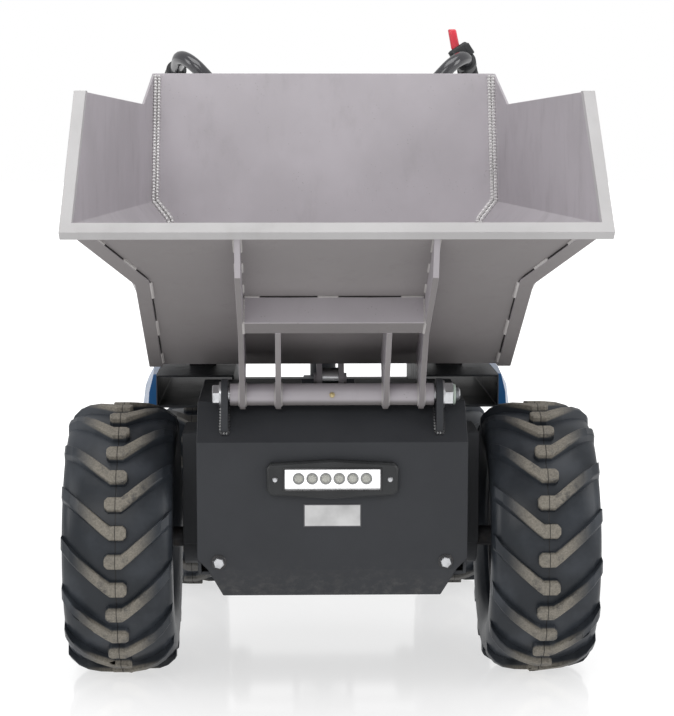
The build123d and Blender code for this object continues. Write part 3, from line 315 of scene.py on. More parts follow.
@dataclass(frozen=True)
class Paint(Finish):
    """Sprayed paint on plate, with soft clouding, specks of dirt and a fine skin."""

    colour: Colour
    cloud: Colour
    dirt_and_shade: Colour
    roughness: float = 0.42
    skin: float = 0.00012
    skin_scale: float = 420.0
    speck: float = 0.10
    dirt_height: float = 0.0
    dirt_share: float = 0.0
    coat: float = 0.0
    metallic: float = 0.0
    gloss: float = 0.5
    # How much painted shade darkens the faces that look down, towards the dirt colour.
    under: float = 0.0
    road_dust: Colour = (0.30, 0.285, 0.26)
    dust_depth: float = 0.10

    def build(self, nodes: NodeMaker) -> None:
        """Fill the material's tree."""
        here = nodes.place()
        clouds = nodes.noise(here, 5.0, 4.0, 0.62).step(0.36, 0.66)
        grime = nodes.noise(nodes.place(scale=(1.0, 1.0, 0.35)), 23.0, 5.0, 0.7).step(0.52, 0.74)
        specks = 1.0 - nodes.cells(here, 160.0).step(0.05, 0.16)
        rare = nodes.noise(here, 31.0, 2.0).step(0.54, 0.60)
        colour = nodes.blend(clouds, self.colour, self.cloud)
        colour = nodes.blend(grime * 0.09, colour, self.dirt_and_shade)
        colour = nodes.blend(specks * rare * self.speck, colour, self.dirt_and_shade)
        if self.dirt_share:
            height = nodes.axes(here)[2]
            low = 1.0 - height.step(self.dirt_height - self.dust_depth, self.dirt_height)
            dust = nodes.noise(here, 60.0, 5.0, 0.72).step(0.42, 0.80)
            colour = nodes.blend(low * dust * self.dirt_share, colour, self.road_dust)
        # Painted shade: faces that look down are darkened towards the dirt colour.
        if self.under:
            facing = nodes.axes(nodes.add("ShaderNodeTexCoord", {}, {}, "Normal"))[2]
            colour = nodes.blend((1.0 - facing.step(-0.75, -0.35)) * self.under, colour, self.dirt_and_shade)
        skin = nodes.noise(here, self.skin_scale, 2.0, 0.6) + nodes.noise(here, 38.0, 2.0) * 0.6
        nodes.surface(
            Base_Color=colour,
            Roughness=grime * 0.12 + clouds * 0.06 + self.roughness,
            Metallic=self.metallic,
            Specular_IOR_Level=self.gloss,
            Coat_Weight=self.coat,
            Coat_Roughness=0.12,
            Normal=nodes.bump(skin, self.skin),
        )


@dataclass(frozen=True)
class TyreRubber(Finish):
    """Moulded rubber with painted sheen in lighter bluish patches on the carcass, and dust on the tops of the
    lugs.
    """

    centre: Point
    radius: float
    half_width: float
    lug_height: float
    dust: float
    carcass: Colour = (0.0245, 0.0290, 0.0355)
    painted_sheen: Colour = (0.049, 0.056, 0.067)
    dark_dust: Colour = (0.205, 0.186, 0.155)
    pale_dust: Colour = (0.315, 0.290, 0.245)
    scuff: Colour = (0.13, 0.125, 0.115)
    parting: Colour = (0.016, 0.015, 0.014)

    def build(self, nodes: NodeMaker) -> None:
        """Fill the material's tree."""
        here = nodes.place(Vector(self.centre))
        across, along, up = nodes.axes(here)
        reach = (along * along + up * up).math("SQRT")
        crown = self.radius - self.lug_height
        top = reach.step(crown + 0.30 * self.lug_height, crown + 0.62 * self.lug_height)
        middle = 1.0 - abs(across).step(0.26 * self.half_width, 0.72 * self.half_width)
        wear = nodes.noise(here, 46.0, 5.0, 0.72)
        fine = nodes.noise(here, 380.0, 3.0, 0.7)
        dust = top * (middle * 0.86 + 0.10) * wear.step(0.22, 0.52) * self.dust
        # Painted sheen: lighter bluish patches on the carcass.
        painted_sheen = nodes.noise(here, 11.0, 4.0, 0.6).step(0.35, 0.68)
        colour = nodes.blend(painted_sheen, self.carcass, self.painted_sheen)
        powder = nodes.blend(fine.step(0.3, 0.7), self.dark_dust, self.pale_dust)
        colour = nodes.blend(dust, colour, powder)
        streaks = nodes.place(Vector(self.centre), (1.0, 3.0, 3.0))
        scuffs = nodes.noise(streaks, 42.0, 6.0, 0.75).step(0.62, 0.72)
        colour = nodes.blend(scuffs * 0.22, colour, self.scuff)
        seam = 1.0 - abs(across).step(0.0004, 0.0010)
        colour = nodes.blend(seam * 0.80, colour, self.parting)
        shoulder = abs(across).step(0.86 * self.half_width, 0.95 * self.half_width)
        rings = (reach * 2600.0).math("SINE") * shoulder
        relief = fine * 0.5 + rings * 0.25 + seam * -1.0
        nodes.surface(
            Base_Color=colour,
            Roughness=dust * 0.30 + painted_sheen * 0.12 + 0.30,
            Specular_IOR_Level=0.34,
            Normal=nodes.bump(relief, 0.00022),
        )


@dataclass(frozen=True)
class Moulded(Finish):
    """Moulded plastic or rubber with a fine grain."""

    colour: Colour
    roughness: float = 0.5
    grain: float = 0.00008
    grain_scale: float = 900.0
    coat: float = 0.0

    def build(self, nodes: NodeMaker) -> None:
        """Fill the material's tree."""
        here = nodes.place()
        grain = nodes.noise(here, self.grain_scale, 2.0, 0.6)
        shade = nodes.noise(here, 24.0, 3.0).step(0.35, 0.7)
        darker = tuple(0.72 * part for part in self.colour)
        rubbed = nodes.noise(here, 75.0, 5.0, 0.7).step(0.58, 0.75)
        pale = tuple(part * 0.6 + 0.05 for part in self.colour)
        colour = nodes.blend(rubbed * 0.15, nodes.blend(shade, self.colour, darker), pale)
        nodes.surface(
            Base_Color=colour,
            Roughness=rubbed * 0.12 + self.roughness,
            Coat_Weight=self.coat,
            Normal=nodes.bump(grain, self.grain),
        )


@dataclass(frozen=True)
class Metal(Finish):
    """Plated, cast or turned steel."""

    colour: Colour
    stain: Colour
    roughness: float = 0.28
    metallic: float = 1.0
    grain: float = 0.00005

    def build(self, nodes: NodeMaker) -> None:
        """Fill the material's tree."""
        here = nodes.place()
        stains = nodes.noise(here, 90.0, 4.0, 0.65).step(0.42, 0.70)
        marks = nodes.noise(here, 700.0, 3.0, 0.6)
        nodes.surface(
            Base_Color=nodes.blend(stains * 0.55, self.colour, self.stain),
            Roughness=stains * 0.14 + marks * 0.06 + self.roughness,
            Metallic=self.metallic,
            Normal=nodes.bump(marks, self.grain),
        )


@dataclass(frozen=True)
class ClearLens(Finish):
    """A thin clear cover with faint dust."""

    alpha: float = 0.16

    def build(self, nodes: NodeMaker) -> None:
        """Fill the material's tree."""
        dust = nodes.noise(nodes.place(), 120.0, 4.0, 0.7).step(0.5, 0.8)
        nodes.surface(
            Base_Color=(0.9, 0.92, 0.93, 1.0),
            Roughness=dust * 0.2 + 0.05,
            Alpha=dust * 0.08 + self.alpha,
        )


@dataclass(frozen=True)
class PaintedGlow(Finish):
    """A surface that glows as painted light, so that it stays bright under its cover."""

    colour: Colour
    strength: float

    def build(self, nodes: NodeMaker) -> None:
        """Fill the material's tree."""
        shade = nodes.noise(nodes.place(), 70.0, 2.0).step(0.3, 0.7)
        colour = nodes.blend(shade * 0.25, self.colour, tuple(0.8 * part for part in self.colour))
        nodes.surface(
            Base_Color=colour,
            Roughness=0.25,
            Emission_Color=colour,
            Emission_Strength=self.strength,
        )


SKIP_PAINT = Paint(
    "skip_paint",
    "skip_paint",
    (0.505, 0.474, 0.504),
    (0.462, 0.434, 0.460),
    (0.165, 0.152, 0.136),
    speck=0.55,
    metallic=0.10,
    # painted shade on the faces that look down
    under=0.62,
)
# Painted highlight: a lighter copy of the skip paint for the skip's edges.
EDGE_HIGHLIGHT_PAINT = Paint(
    "skip_edge", "skip_edge", (0.54, 0.53, 0.532), (0.49, 0.48, 0.482), (0.24, 0.22, 0.20), roughness=0.36
)
# Painted highlight: the inner weld beads take a much lighter copy of the skip paint.
WELD_HIGHLIGHT_PAINT = Paint(
    "weld_paint",
    "skip_paint",
    (0.80, 0.79, 0.785),
    (0.60, 0.59, 0.585),
    (0.24, 0.22, 0.21),
    roughness=0.26,
    skin=0.0006,
    skin_scale=900.0,
    metallic=0.35,
)
STITCH_PAINT = Paint(
    "stitch_paint",
    "skip_paint",
    (0.56, 0.54, 0.53),
    (0.42, 0.40, 0.39),
    (0.20, 0.185, 0.17),
    roughness=0.34,
    metallic=0.15,
)
CHASSIS_PAINT = Paint(
    "chassis_paint",
    "chassis_paint",
    (0.0420, 0.0445, 0.0500),
    (0.0480, 0.0510, 0.0570),
    (0.070, 0.067, 0.063),
    roughness=0.44,
    gloss=0.30,
    skin=0.00020,
    skin_scale=620.0,
    dirt_height=0.21,
    dirt_share=0.35,
)
FAIRING_PAINT = Paint(
    "fairing_paint",
    "fairing_paint",
    (0.022, 0.16, 0.42),
    (0.018, 0.13, 0.37),
    (0.03, 0.05, 0.09),
    roughness=0.30,
    coat=0.6,
)
BAR_PAINT = Paint(
    "bar_paint",
    "bar_paint",
    (0.042, 0.042, 0.048),
    (0.050, 0.050, 0.056),
    (0.08, 0.08, 0.08),
    roughness=0.16,
    coat=0.8,
)
RIM_PAINT = Paint(
    "rim_paint", "rim_paint", (0.040, 0.042, 0.046), (0.052, 0.053, 0.056), (0.13, 0.12, 0.11), roughness=0.34
)
RAM_PAINT = Paint(
    "ram_paint", "ram_paint", (0.03, 0.03, 0.033), (0.038, 0.038, 0.04), (0.09, 0.085, 0.08), roughness=0.28
)
PLASTIC = Moulded("black_plastic", "black_plastic", (0.031, 0.033, 0.035), 0.46)
GRIP_RUBBER = Moulded("grip_rubber", "grip_rubber", (0.017, 0.017, 0.018), 0.72, 0.00015, 600.0)
RED_PLASTIC = Moulded("red_plastic", "red_plastic", (0.84, 0.045, 0.075), 0.30, 0.00004, coat=0.4)
BATTERY_CASE = Moulded("battery_case", "battery_case", (0.06, 0.062, 0.066), 0.55)
ZINC = Metal("zinc", "zinc", (0.72, 0.73, 0.75), (0.50, 0.50, 0.52), 0.26)
BRASS = Metal("brass", "zinc", (0.66, 0.55, 0.30), (0.42, 0.33, 0.16), 0.28)
CHROME = Metal("ram_chrome", "ram_chrome", (0.80, 0.81, 0.83), (0.70, 0.71, 0.73), 0.10)
CAST_STEEL = Metal("axle_steel", "axle_steel", (0.075, 0.075, 0.08), (0.13, 0.11, 0.095), 0.48, 0.6, 0.0003)
REFLECTOR = Metal("lamp_chrome", "lamp_chrome", (0.86, 0.87, 0.88), (0.72, 0.72, 0.72), 0.16)
LAMP_GLASS = ClearLens("lamp_glass", "lamp_glass", 0.06)
# Painted light: the lamp's white plate glows so that it looks white behind the lens.
LAMP_WHITE = PaintedGlow("lamp_white", "lamp_chrome", (0.90, 0.90, 0.91), 1.20)
PLATE_WHITE = Moulded("plate_white", "chassis_paint", (0.78, 0.78, 0.78), 0.35, 0.00003)
PLATE_EDGE = Moulded("plate_edge", "chassis_paint", (0.10, 0.10, 0.11), 0.4, 0.00003)
# Painted shadow: dark strips laid in the open gaps beside the stitches.
SLOT_SHADOW = Moulded("slot_dark", "skip_paint", (0.020, 0.018, 0.017), 0.8)
BOLT_BLACK = Metal("bolt_black", "chassis_paint", (0.060, 0.060, 0.063), (0.11, 0.105, 0.10), 0.34, 0.7)
BLACK_WELD = Paint(
    "black_weld",
    "chassis_paint",
    (0.030, 0.031, 0.034),
    (0.045, 0.046, 0.05),
    (0.08, 0.075, 0.07),
    roughness=0.16,
    coat=0.6,
)
LEVER_BLACK = Moulded("lever_black", "black_plastic", (0.014, 0.014, 0.016), 0.26, 0.00003, coat=0.5)
NYLON = Moulded("nylon_ring", "zinc", (0.48, 0.56, 0.50), 0.42, 0.00003)
# Painted light: the domes and their rings glow so that they look bright behind the lens.
DOME_GREY = PaintedGlow("dome_grey", "lamp_chrome", (0.46, 0.46, 0.41), 0.22)
DOME_RING = PaintedGlow("dome_ring", "lamp_chrome", (0.24, 0.24, 0.235), 0.16)
SCREEN = Moulded("blank_screen", "black_plastic", (0.012, 0.014, 0.018), 0.12, 0.00001, coat=0.8)

# The finish of each slot in the record.
NODE_FINISHES: dict[str, Finish] = {
    finish.slot: finish
    for finish in (
        SKIP_PAINT, EDGE_HIGHLIGHT_PAINT, CHASSIS_PAINT, FAIRING_PAINT, RIM_PAINT, BAR_PAINT, RAM_PAINT, CHROME, ZINC,
        CAST_STEEL, GRIP_RUBBER, PLASTIC, RED_PLASTIC, REFLECTOR, LAMP_GLASS, BATTERY_CASE,
    )
}
NODE_FINISHES["tyre_rubber"] = GRIP_RUBBER


# ---- meshes -------------------------------------------------------------------------------------------
def joint_place(name: str) -> Vector:
    """Where a joint's axis lies.

    Args:
        name: The joint.

    Returns:
        Its place in metres.
    """
    return next(Vector(joint["pos_m"]) for joint in frame["joints"] if joint["name"] == name)


def middle(node: str) -> Vector:
    """The middle of a CAD node's box."""
    low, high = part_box(node)
    return (low + high) / 2


class Shape:
    """A mesh in the making, which ends as a piece that rides on a body."""

    def __init__(self) -> None:
        """Start empty."""
        self.bm = bmesh.new()

    def finish_new(self, index: int) -> None:
        """Give the faces added since the last call a finish.

        A face without one has the index 0, so the indices are one too high until the piece is made.

        Args:
            index: The index of the finish.
        """
        for face in self.bm.faces:
            if face.material_index == 0:
                face.material_index = index + 1

    def turned(
        self, outline: Outline, origin: Vector, axis: Vector, steps: int, closed: bool = False
    ) -> None:
        """Spin an outline round an axis.

        Args:
            outline: Points as distance along the axis and distance from it.
            origin: A point on the axis.
            axis: The axis.
            steps: How many steps the turn has.
            closed: Whether the outline's ends meet.
        """
        axis = axis.normalized()
        side = axis.orthogonal().normalized()
        verts = [self.bm.verts.new(origin + axis * along + side * reach) for along, reach in outline]
        pairs = list(zip(verts, verts[1:])) + ([(verts[-1], verts[0])] if closed else [])
        edges = [self.bm.edges.new(pair) for pair in pairs]
        bmesh.ops.spin(
            self.bm, geom=verts + edges, cent=origin, axis=axis, angle=2 * pi, steps=steps, use_merge=True
        )

    def rod(self, start: Vector, end: Vector, radius: float, steps: int = 24, edge: float = 0.0006) -> None:
        """Add a round bar with chamfered ends.

        Args:
            start: The middle of its first end.
            end: The middle of its other end.
            radius: Its radius.
            steps: How many sides it has; 6 makes a hexagon.
            edge: The chamfer's size.
        """
        length = (end - start).length
        outline = [(0.0, 0.0), (0.0, radius - edge), (edge, radius), (length - edge, radius)]
        outline += [(length, radius - edge), (length, 0.0)]
        self.turned(outline, start, end - start, steps)

    def prism(self, corners: list[Vector], depth: Vector, edge: float = 0.0, segments: int = 2) -> None:
        """Extrude a flat outline.

        Args:
            corners: The outline.
            depth: How far and where to.
            edge: The bevel's width on every edge.
            segments: How many faces the bevel has.
        """
        base = self.bm.faces.new([self.bm.verts.new(corner) for corner in corners])
        grown = bmesh.ops.extrude_face_region(self.bm, geom=[base], use_keep_orig=True)["geom"]
        far = [item for item in grown if isinstance(item, bmesh.types.BMVert)]
        bmesh.ops.translate(self.bm, verts=far, vec=depth)
        if edge:
            edges = {edge_of for vert in [*base.verts, *far] for edge_of in vert.link_edges}
            bmesh.ops.bevel(
                self.bm,
                geom=list(edges),
                offset=edge,
                segments=segments,
                profile=0.5,
                affect="EDGES",
                material=-1,
            )

    def block(self, centre: Vector, size: Point, edge: float = 0.001, segments: int = 2) -> None:
        """Add a box with rounded edges.

        Args:
            centre: Its middle.
            size: Its width, depth and height.
            edge: The bevel's width.
            segments: How many faces the bevel has.
        """
        half = Vector(size) / 2
        signs = ((-1, -1), (1, -1), (1, 1), (-1, 1))
        corners = [centre + Vector((x * half.x, y * half.y, -half.z)) for x, y in signs]
        self.prism(corners, UP * size[2], edge, segments)

    def swept(self, path: list[Vector], reaches: list[float], sides: int, squash: float = 1.0) -> None:
        """Sweep a round section along a path, with closed ends.

        Args:
            path: The middle of each section.
            reaches: The radius of each section.
            sides: How many sides a section has.
            squash: The section's height over its width.
        """
        heading = (path[1] - path[0]).normalized()
        across = heading.cross(UP)
        across = across.normalized() if across.length > 0.01 else RIGHT
        turn = Matrix((across, heading.cross(across), heading)).transposed()
        turns = []
        for index in range(len(path)):
            if index:
                ahead = (path[min(index + 1, len(path) - 1)] - path[index - 1]).normalized()
                turn = heading.rotation_difference(ahead).to_matrix() @ turn
                heading = ahead
            turns.append(turn)
        bm = bmesh.new()
        count = len(path) - 1
        bmesh.ops.create_grid(bm, x_segments=count, y_segments=sides, size=0.5)
        for vert in bm.verts:
            index = round((vert.co.x + 0.5) * count)
            angle = 2 * pi * round((vert.co.y + 0.5) * sides) / sides
            offset = Vector((cos(angle), squash * sin(angle), 0.0)) * reaches[index]
            vert.co = path[index] + turns[index] @ offset
        bmesh.ops.remove_doubles(bm, verts=bm.verts, dist=MERGE)
        bmesh.ops.holes_fill(bm, edges=[edge for edge in bm.edges if edge.is_boundary])
        mesh = bpy.data.meshes.new("sweep")
        bm.to_mesh(mesh)
        bm.free()
        self.bm.from_mesh(mesh)
        bpy.data.meshes.remove(mesh)

    def bead(self, path: list[Vector], radius: float = 0.0024, pitch: float = 0.0042) -> None:
        """Lay a rippled weld bead along a path, with thin ends.

        Args:
            path: The path's corners.
            radius: The bead's radius.
            pitch: How far apart its ripples are.
        """
        spots, reaches = [], []
        for start, end in zip(path, path[1:]):
            count = max(2, round((end - start).length / pitch * 2))
            for step in range(count):
                spots.append(start.lerp(end, step / count))
                reaches.append(radius * (TROUGH if len(spots) % 2 else CREST))
        spots.append(path[-1])
        reaches.append(radius * BEAD_END)
        reaches[0] = radius * BEAD_END
        self.swept(spots, reaches, BEAD_SIDES)

    def ring_bead(self, centre: Vector, axis: Vector, reach: float, radius: float = 0.0022) -> None:
        """Lay a weld bead round a tube.

        Args:
            centre: The middle of the ring.
            axis: The tube's axis.
            reach: The tube's radius.
            radius: The bead's radius.
        """
        turns = [2 * pi * step / RING_SIDES for step in range(RING_SIDES)]
        outline = [(radius * cos(turn), reach + radius * sin(turn)) for turn in turns]
        self.turned(outline, centre, axis, 48, True)

    def piece(self, name: str, body: str, finish: Finish, *extra: Finish) -> bpy.types.Object:
        """Turn the mesh into a piece.

        Args:
            name: The piece's name.
            body: The body that it rides on.
            finish: Its first finish, which also gives its slot.
            extra: Finishes for faces with a higher index.

        Returns:
            The piece.
        """
        bmesh.ops.remove_doubles(self.bm, verts=self.bm.verts, dist=MERGE)
        bmesh.ops.recalc_face_normals(self.bm, faces=self.bm.faces)
        for face in self.bm.faces:
            face.material_index = max(0, face.material_index - 1) if extra else 0
        mesh = bpy.data.meshes.new(name)
        self.bm.to_mesh(mesh)
        self.bm.free()
        for each in (finish, *extra):
            mesh.materials.append(each.material())
        mesh.shade_smooth()
        mesh.set_sharp_from_angle(angle=SMOOTH_LIMIT)
        made = bpy.data.objects.new(name, mesh)
        bpy.context.scene.collection.objects.link(made)
        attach(made, body)
        LOG.info("%s: %d faces on %s", name, len(mesh.polygons), body)
        return made


def rounded(piece: bpy.types.Object, width: float, angle: float = 38.0) -> bpy.types.Object:
    """Round a piece's edges with a live bevel.

    Args:
        piece: The piece.
        width: The bevel's width in metres.
        angle: Edges sharper than this, in degrees, are rounded.

    Returns:
        The piece.
    """
    bevel = piece.modifiers.new("edges", "BEVEL")
    bevel.width = width
    bevel.segments = 2
    bevel.limit_method = "ANGLE"
    bevel.angle_limit = radians(angle)
    bevel.use_clamp_overlap = True
    return piece


def softened(node: str, body: str, finish: Finish, width: float, top: float = 0.0) -> bpy.types.Object:
    """Stand a bevelled copy in for a CAD node.

    Args:
        node: The CAD node.
        body: The body that it rides on.
        finish: The finish.
        width: The bevel's width in metres.
        top: The height that it is cut off level at, or 0.

    Returns:
        The piece.
    """
    shape = Shape()
    shape.bm.from_mesh(frame["nodes"][node].data)
    bmesh.ops.remove_doubles(shape.bm, verts=shape.bm.verts, dist=2 * MERGE)
    bmesh.ops.dissolve_limit(
        shape.bm, angle_limit=radians(1.0), verts=shape.bm.verts, edges=shape.bm.edges, delimit={"NORMAL"}
    )
    if top:
        every = [*shape.bm.verts, *shape.bm.edges, *shape.bm.faces]
        bmesh.ops.bisect_plane(shape.bm, geom=every, plane_co=UP * top, plane_no=UP, clear_outer=True)
        bmesh.ops.holes_fill(shape.bm, edges=[edge for edge in shape.bm.edges if edge.is_boundary])
    piece = rounded(shape.piece(node + "_shell", body, finish), width)
    piece.modifiers["edges"].harden_normals = True
    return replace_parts(piece, node)


def bent(corners: list[Vector], radius: float, steps: int) -> list[Vector]:
    """The middle line of a rigid tube whose corners are bent.

    Args:
        corners: The line's corners.
        radius: The radius of each bend.
        steps: How many steps a bend has.

    Returns:
        The points of the line.
    """
    points = [corners[0]]
    for before, corner, after in zip(corners, corners[1:], corners[2:]):
        back, onward = (before - corner).normalized(), (after - corner).normalized()
        bend = pi - back.angle(onward)
        centre = corner + (back + onward).normalized() * (radius / cos(bend / 2))
        first = corner + back * (radius * tan(bend / 2)) - centre
        last = corner + onward * (radius * tan(bend / 2)) - centre
        for step in range(steps + 1):
            share = step / steps
            points.append(centre + (first * sin((1 - share) * bend) + last * sin(share * bend)) / sin(bend))
    return [*points, corners[-1]]


def curved(stops: list[Vector], steps: int) -> list[Vector]:
    """A smooth curve through points.

    Args:
        stops: The points.
        steps: How many steps there are from one point to the next.

    Returns:
        The points of the curve.
    """
    points = []
    last = len(stops) - 1
    for index in range(last):
        before, here = stops[max(index - 1, 0)], stops[index]
        after, beyond = stops[index + 1], stops[min(index + 2, last)]
        for step in range(steps):
            share = step / steps
            pull = (after - before) / 2 * share + (2 * before - 5 * here + 4 * after - beyond) / 2 * share**2
            points.append(here + pull + (3 * (here - after) + beyond - before) / 2 * share**3)
    return [*points, stops[-1]]


class NearAxle:
    """A sub-assembly whose sizes are measured from the front axle."""

    def at(self, across: float, behind: float, height: float) -> Vector:
        """A point, measured from the front axle."""
        return Vector((across, joint_place("roll_front_left").y + behind, height))


# ---- the skip -----------------------------------------------------------------------------------------
@dataclass
class Skip(NearAxle):
    """Weld beads, painted shadow in the open slots, and hardware on the tipping skip."""

    floor_z: float = 0.471
    ramp_angle: float = radians(26.0)
    ramp_foot: float = -0.020
    lip: float = -0.462
    floor_back: float = 0.390
    back_top: float = 0.488
    back_top_z: float = 0.917
    lower_half: float = 0.272
    wing_front: float = 0.352
    wing_back: float = 0.2945
    fold_z: float = 0.698
    shoulder_slope: float = 1.217
    sheet: float = 0.004
    flange: float = 0.020
    pivot_behind: float = -0.130
    pivot_z: float = 0.438
    tube_radius: float = 0.016
    leg_half: float = 0.004
    legs: tuple[float, ...] = (0.130, 0.078)
    beam: tuple[float, float] = (0.235, 0.275)
    beam_depth: float = 0.040
    ramp_start: float = 0.012
    ramp_end: float = 0.484
    # Columns: start and end up the ramp.
    flange_slots: tuple[tuple[float, float], ...] = (
        (0.050, 0.130),
        (0.186, 0.275),
        (0.330, 0.378),
        (0.412, 0.463),
    )
    # Columns: start and end across the beam.
    beam_slots: tuple[tuple[float, float], ...] = ((-0.103, -0.023), (0.006, 0.093))
    # Columns: start and end up the ramp.
    leg_stitches: tuple[tuple[float, float], ...] = ((0.292, 0.322), (0.366, 0.396), (0.436, 0.478))
    # Columns: in from the side, ahead of the back wall, radius.
    corner_beads: tuple[Point, ...] = ((0.0024, 0.0065, 0.0038), (0.0082, 0.0024, 0.0036))
    corner_pitch: float = 0.0100
    corner_steps: int = 40
    # How far up the ramp the bead inside has its points.
    bead_stops: tuple[float, ...] = (0.002, 0.15, 0.25, 0.34, 0.42)
    thin_bead: float = 0.0020
    # How far the middle of an outer bead and of a thin one stands off the plate.
    proud: float = 0.0006
    lift: float = 0.0004

    def on_ramp(self, up: float, out: float, across: float) -> Vector:
        """A point beside the ramp.

        Args:
            up: How far up the ramp.
            out: How far out from its underside.
            across: How far across.

        Returns:
            The point.
        """
        rise, run = sin(self.ramp_angle), cos(self.ramp_angle)
        behind = self.ramp_foot - up * run - out * rise
        return self.at(across, behind, self.floor_z + up * rise - out * run)

    def stretch(self, start: float, end: float) -> list[Vector]:
        """The ends and the middle of a stretch up the ramp's underside.

        Args:
            start: How far up the ramp it starts.
            end: How far up the ramp it ends.

        Returns:
            The three points, in the middle plane.
        """
        return [self.on_ramp(start + (end - start) * share, self.proud, 0.0) for share in (0.0, 0.5, 1.0)]

    def folds_at(self, inset: float) -> float:
        """The height of the sides' upper fold, moved in by an inset."""
        return self.fold_z + inset * (hypot(1.0, self.shoulder_slope) - self.shoulder_slope)

    def half_at(self, spot: Vector, inset: float) -> float:
        """Half of the tub's width where a point is.

        Args:
            spot: The point.
            inset: How far the sides are moved in.

        Returns:
            Half of the width.
        """
        share = (spot.y - self.at(0.0, self.lip, 0.0).y) / (self.back_top - self.lip)
        wing = self.wing_front + share * (self.wing_back - self.wing_front) - inset
        half = self.lower_half - inset
        shoulder = self.folds_at(inset) - self.shoulder_slope * (wing - half)
        return max(half, min(wing, half + (spot.z - shoulder) / self.shoulder_slope))

    def beside(self, spots: list[Vector], inset: float, side: Side) -> list[Vector]:
        """Move points in the middle plane out to the side.

        Args:
            spots: The points.
            inset: How far in from the outside they end.
            side: Which side.

        Returns:
            The moved points.
        """
        return [Vector((side.value * self.half_at(spot, inset), spot.y, spot.z)) for spot in spots]

    def inner_seams(self, shape: Shape, side: Side) -> None:
        """Weld the floor, ramp and back wall to one side, inside.

        Args:
            shape: The mesh to add to.
            side: Which side.
        """
        lean = (self.back_top - self.floor_back) / (self.back_top_z - self.floor_z)
        steps = self.corner_steps
        low, high = self.floor_z + 0.008, self.back_top_z - 0.003
        for inset, ahead, radius in self.corner_beads:
            fold = self.folds_at(self.sheet + inset)
            heights = [low + (fold - low) * step / steps for step in range(steps + 1)]
            heights += [fold + (high - fold) * step / steps for step in range(1, steps + 1)]
            start = self.floor_back - self.sheet - ahead
            back = [self.at(0.0, start + (z - self.floor_z) * lean, z) for z in heights]
            shape.bead(self.beside(back, self.sheet + inset, side), radius, self.corner_pitch)
        base = [self.at(0.0, self.floor_back - 0.006, self.floor_z + self.sheet + 0.001)]
        base += [self.on_ramp(up, -self.sheet - 0.001, 0.0) for up in (*self.bead_stops, self.ramp_end)]
        shape.bead(self.beside(base, self.sheet + 0.0008, side), 0.0026)

    def outer_seams(self, shape: Shape, side: Side) -> None:
        """Stitch the side's turned-in edge to the ramp, outside.

        Args:
            shape: The mesh to add to.
            side: Which side.
        """
        ends = [self.ramp_start, *(end for slot in self.flange_slots for end in slot), self.ramp_end]
        for start, end in zip(ends[::2], ends[1::2]):
            spots = self.stretch(start, end)
            shape.bead(self.beside(spots, self.flange + 0.0008, side), 0.0032, 0.0046)

    def slots(self) -> None:
        """Lay dark strips in the open slots that the stitches leave, as painted shadow."""
        shape = Shape()
        for side in Side:
            for start, end in self.flange_slots:
                spots = self.beside(self.stretch(start, end), self.flange + self.proud, side)
                shape.swept(spots, [0.0010, 0.0015, 0.0010], 6)
        for start, end in self.beam_slots:
            stops = (start, (start + end) / 2, end)
            spots = [self.on_ramp(self.beam[1] + 0.0005, self.lift, across) for across in stops]
            shape.swept(spots, [0.0012, 0.0016, 0.0012], 6)
        shape.piece("skip_open_slots", Body.SKIP.value, SLOT_SHADOW)

    def leg_seams(self, shape: Shape) -> None:
        """Weld the legs to the ramp, the beam and the tube.

        Args:
            shape: The mesh to add to.
        """
        pivot = self.at(0.0, self.pivot_behind, self.pivot_z)
        faces = (-self.leg_half, self.leg_half)
        low, high = self.beam
        for side in Side:
            for reach in self.legs:
                for face in faces:
                    shape.ring_bead(pivot + RIGHT * (side.value * reach + face), RIGHT, self.tube_radius)
            outer, inner = (side.value * reach for reach in self.legs)
            for face in faces:
                for stitch in self.leg_stitches:
                    shape.bead([self.on_ramp(up, self.proud, outer + face) for up in stitch])
            butt = outer - side.value * (self.leg_half + self.lift)
            ends = (0.003, self.beam_depth)
            shape.bead([self.on_ramp(high - self.lift, out, butt) for out in ends], self.thin_bead)
            under = self.beam_depth - self.lift
            shape.bead([self.on_ramp(up, under, butt) for up in self.beam], self.thin_bead)
            ends = (0.004, self.beam_depth - 0.001)
            for face in faces:
                shape.bead([self.on_ramp(low, out, inner + face) for out in ends], self.thin_bead)

    def beam_seam(self, shape: Shape) -> None:
        """Weld the beam's top edge to the ramp, between its slots.

        Args:
            shape: The mesh to add to.
        """
        reach, top = self.legs[0] - 0.005, self.beam[1] + self.lift
        ends = [-reach, *(end for slot in self.beam_slots for end in slot), reach]
        for start, end in zip(ends[::2], ends[1::2]):
            shape.bead([self.on_ramp(top, self.lift, across) for across in (start, end)], 0.0018)

    def nipple(self) -> None:
        """Fit the grease nipple to the front of the pivot tube."""
        shape = Shape()
        start = self.at(0.0, self.pivot_behind - self.tube_radius + 0.0006, self.pivot_z + 0.001)
        base = 0.0028
        shape.rod(start, start + AHEAD * base, 0.0044, 6, 0.0004)
        neck = [(base, 0.0), (base, 0.0026), (0.0044, 0.0018)]
        shape.turned([*neck, (0.0056, 0.0027), (0.0068, 0.0024), (0.0078, 0.0)], start, AHEAD, 20)
        shape.piece("pivot_grease_nipple", Body.SKIP.value, BRASS)

    def build(self) -> None:
        """Make everything."""
        inside, outside = Shape(), Shape()
        for side in Side:
            self.inner_seams(inside, side)
            self.outer_seams(outside, side)
        self.leg_seams(outside)
        self.beam_seam(outside)
        inside.piece("skip_inner_welds", Body.SKIP.value, WELD_HIGHLIGHT_PAINT)
        outside.piece("skip_outer_welds", Body.SKIP.value, STITCH_PAINT)
        self.slots()
        self.nipple()


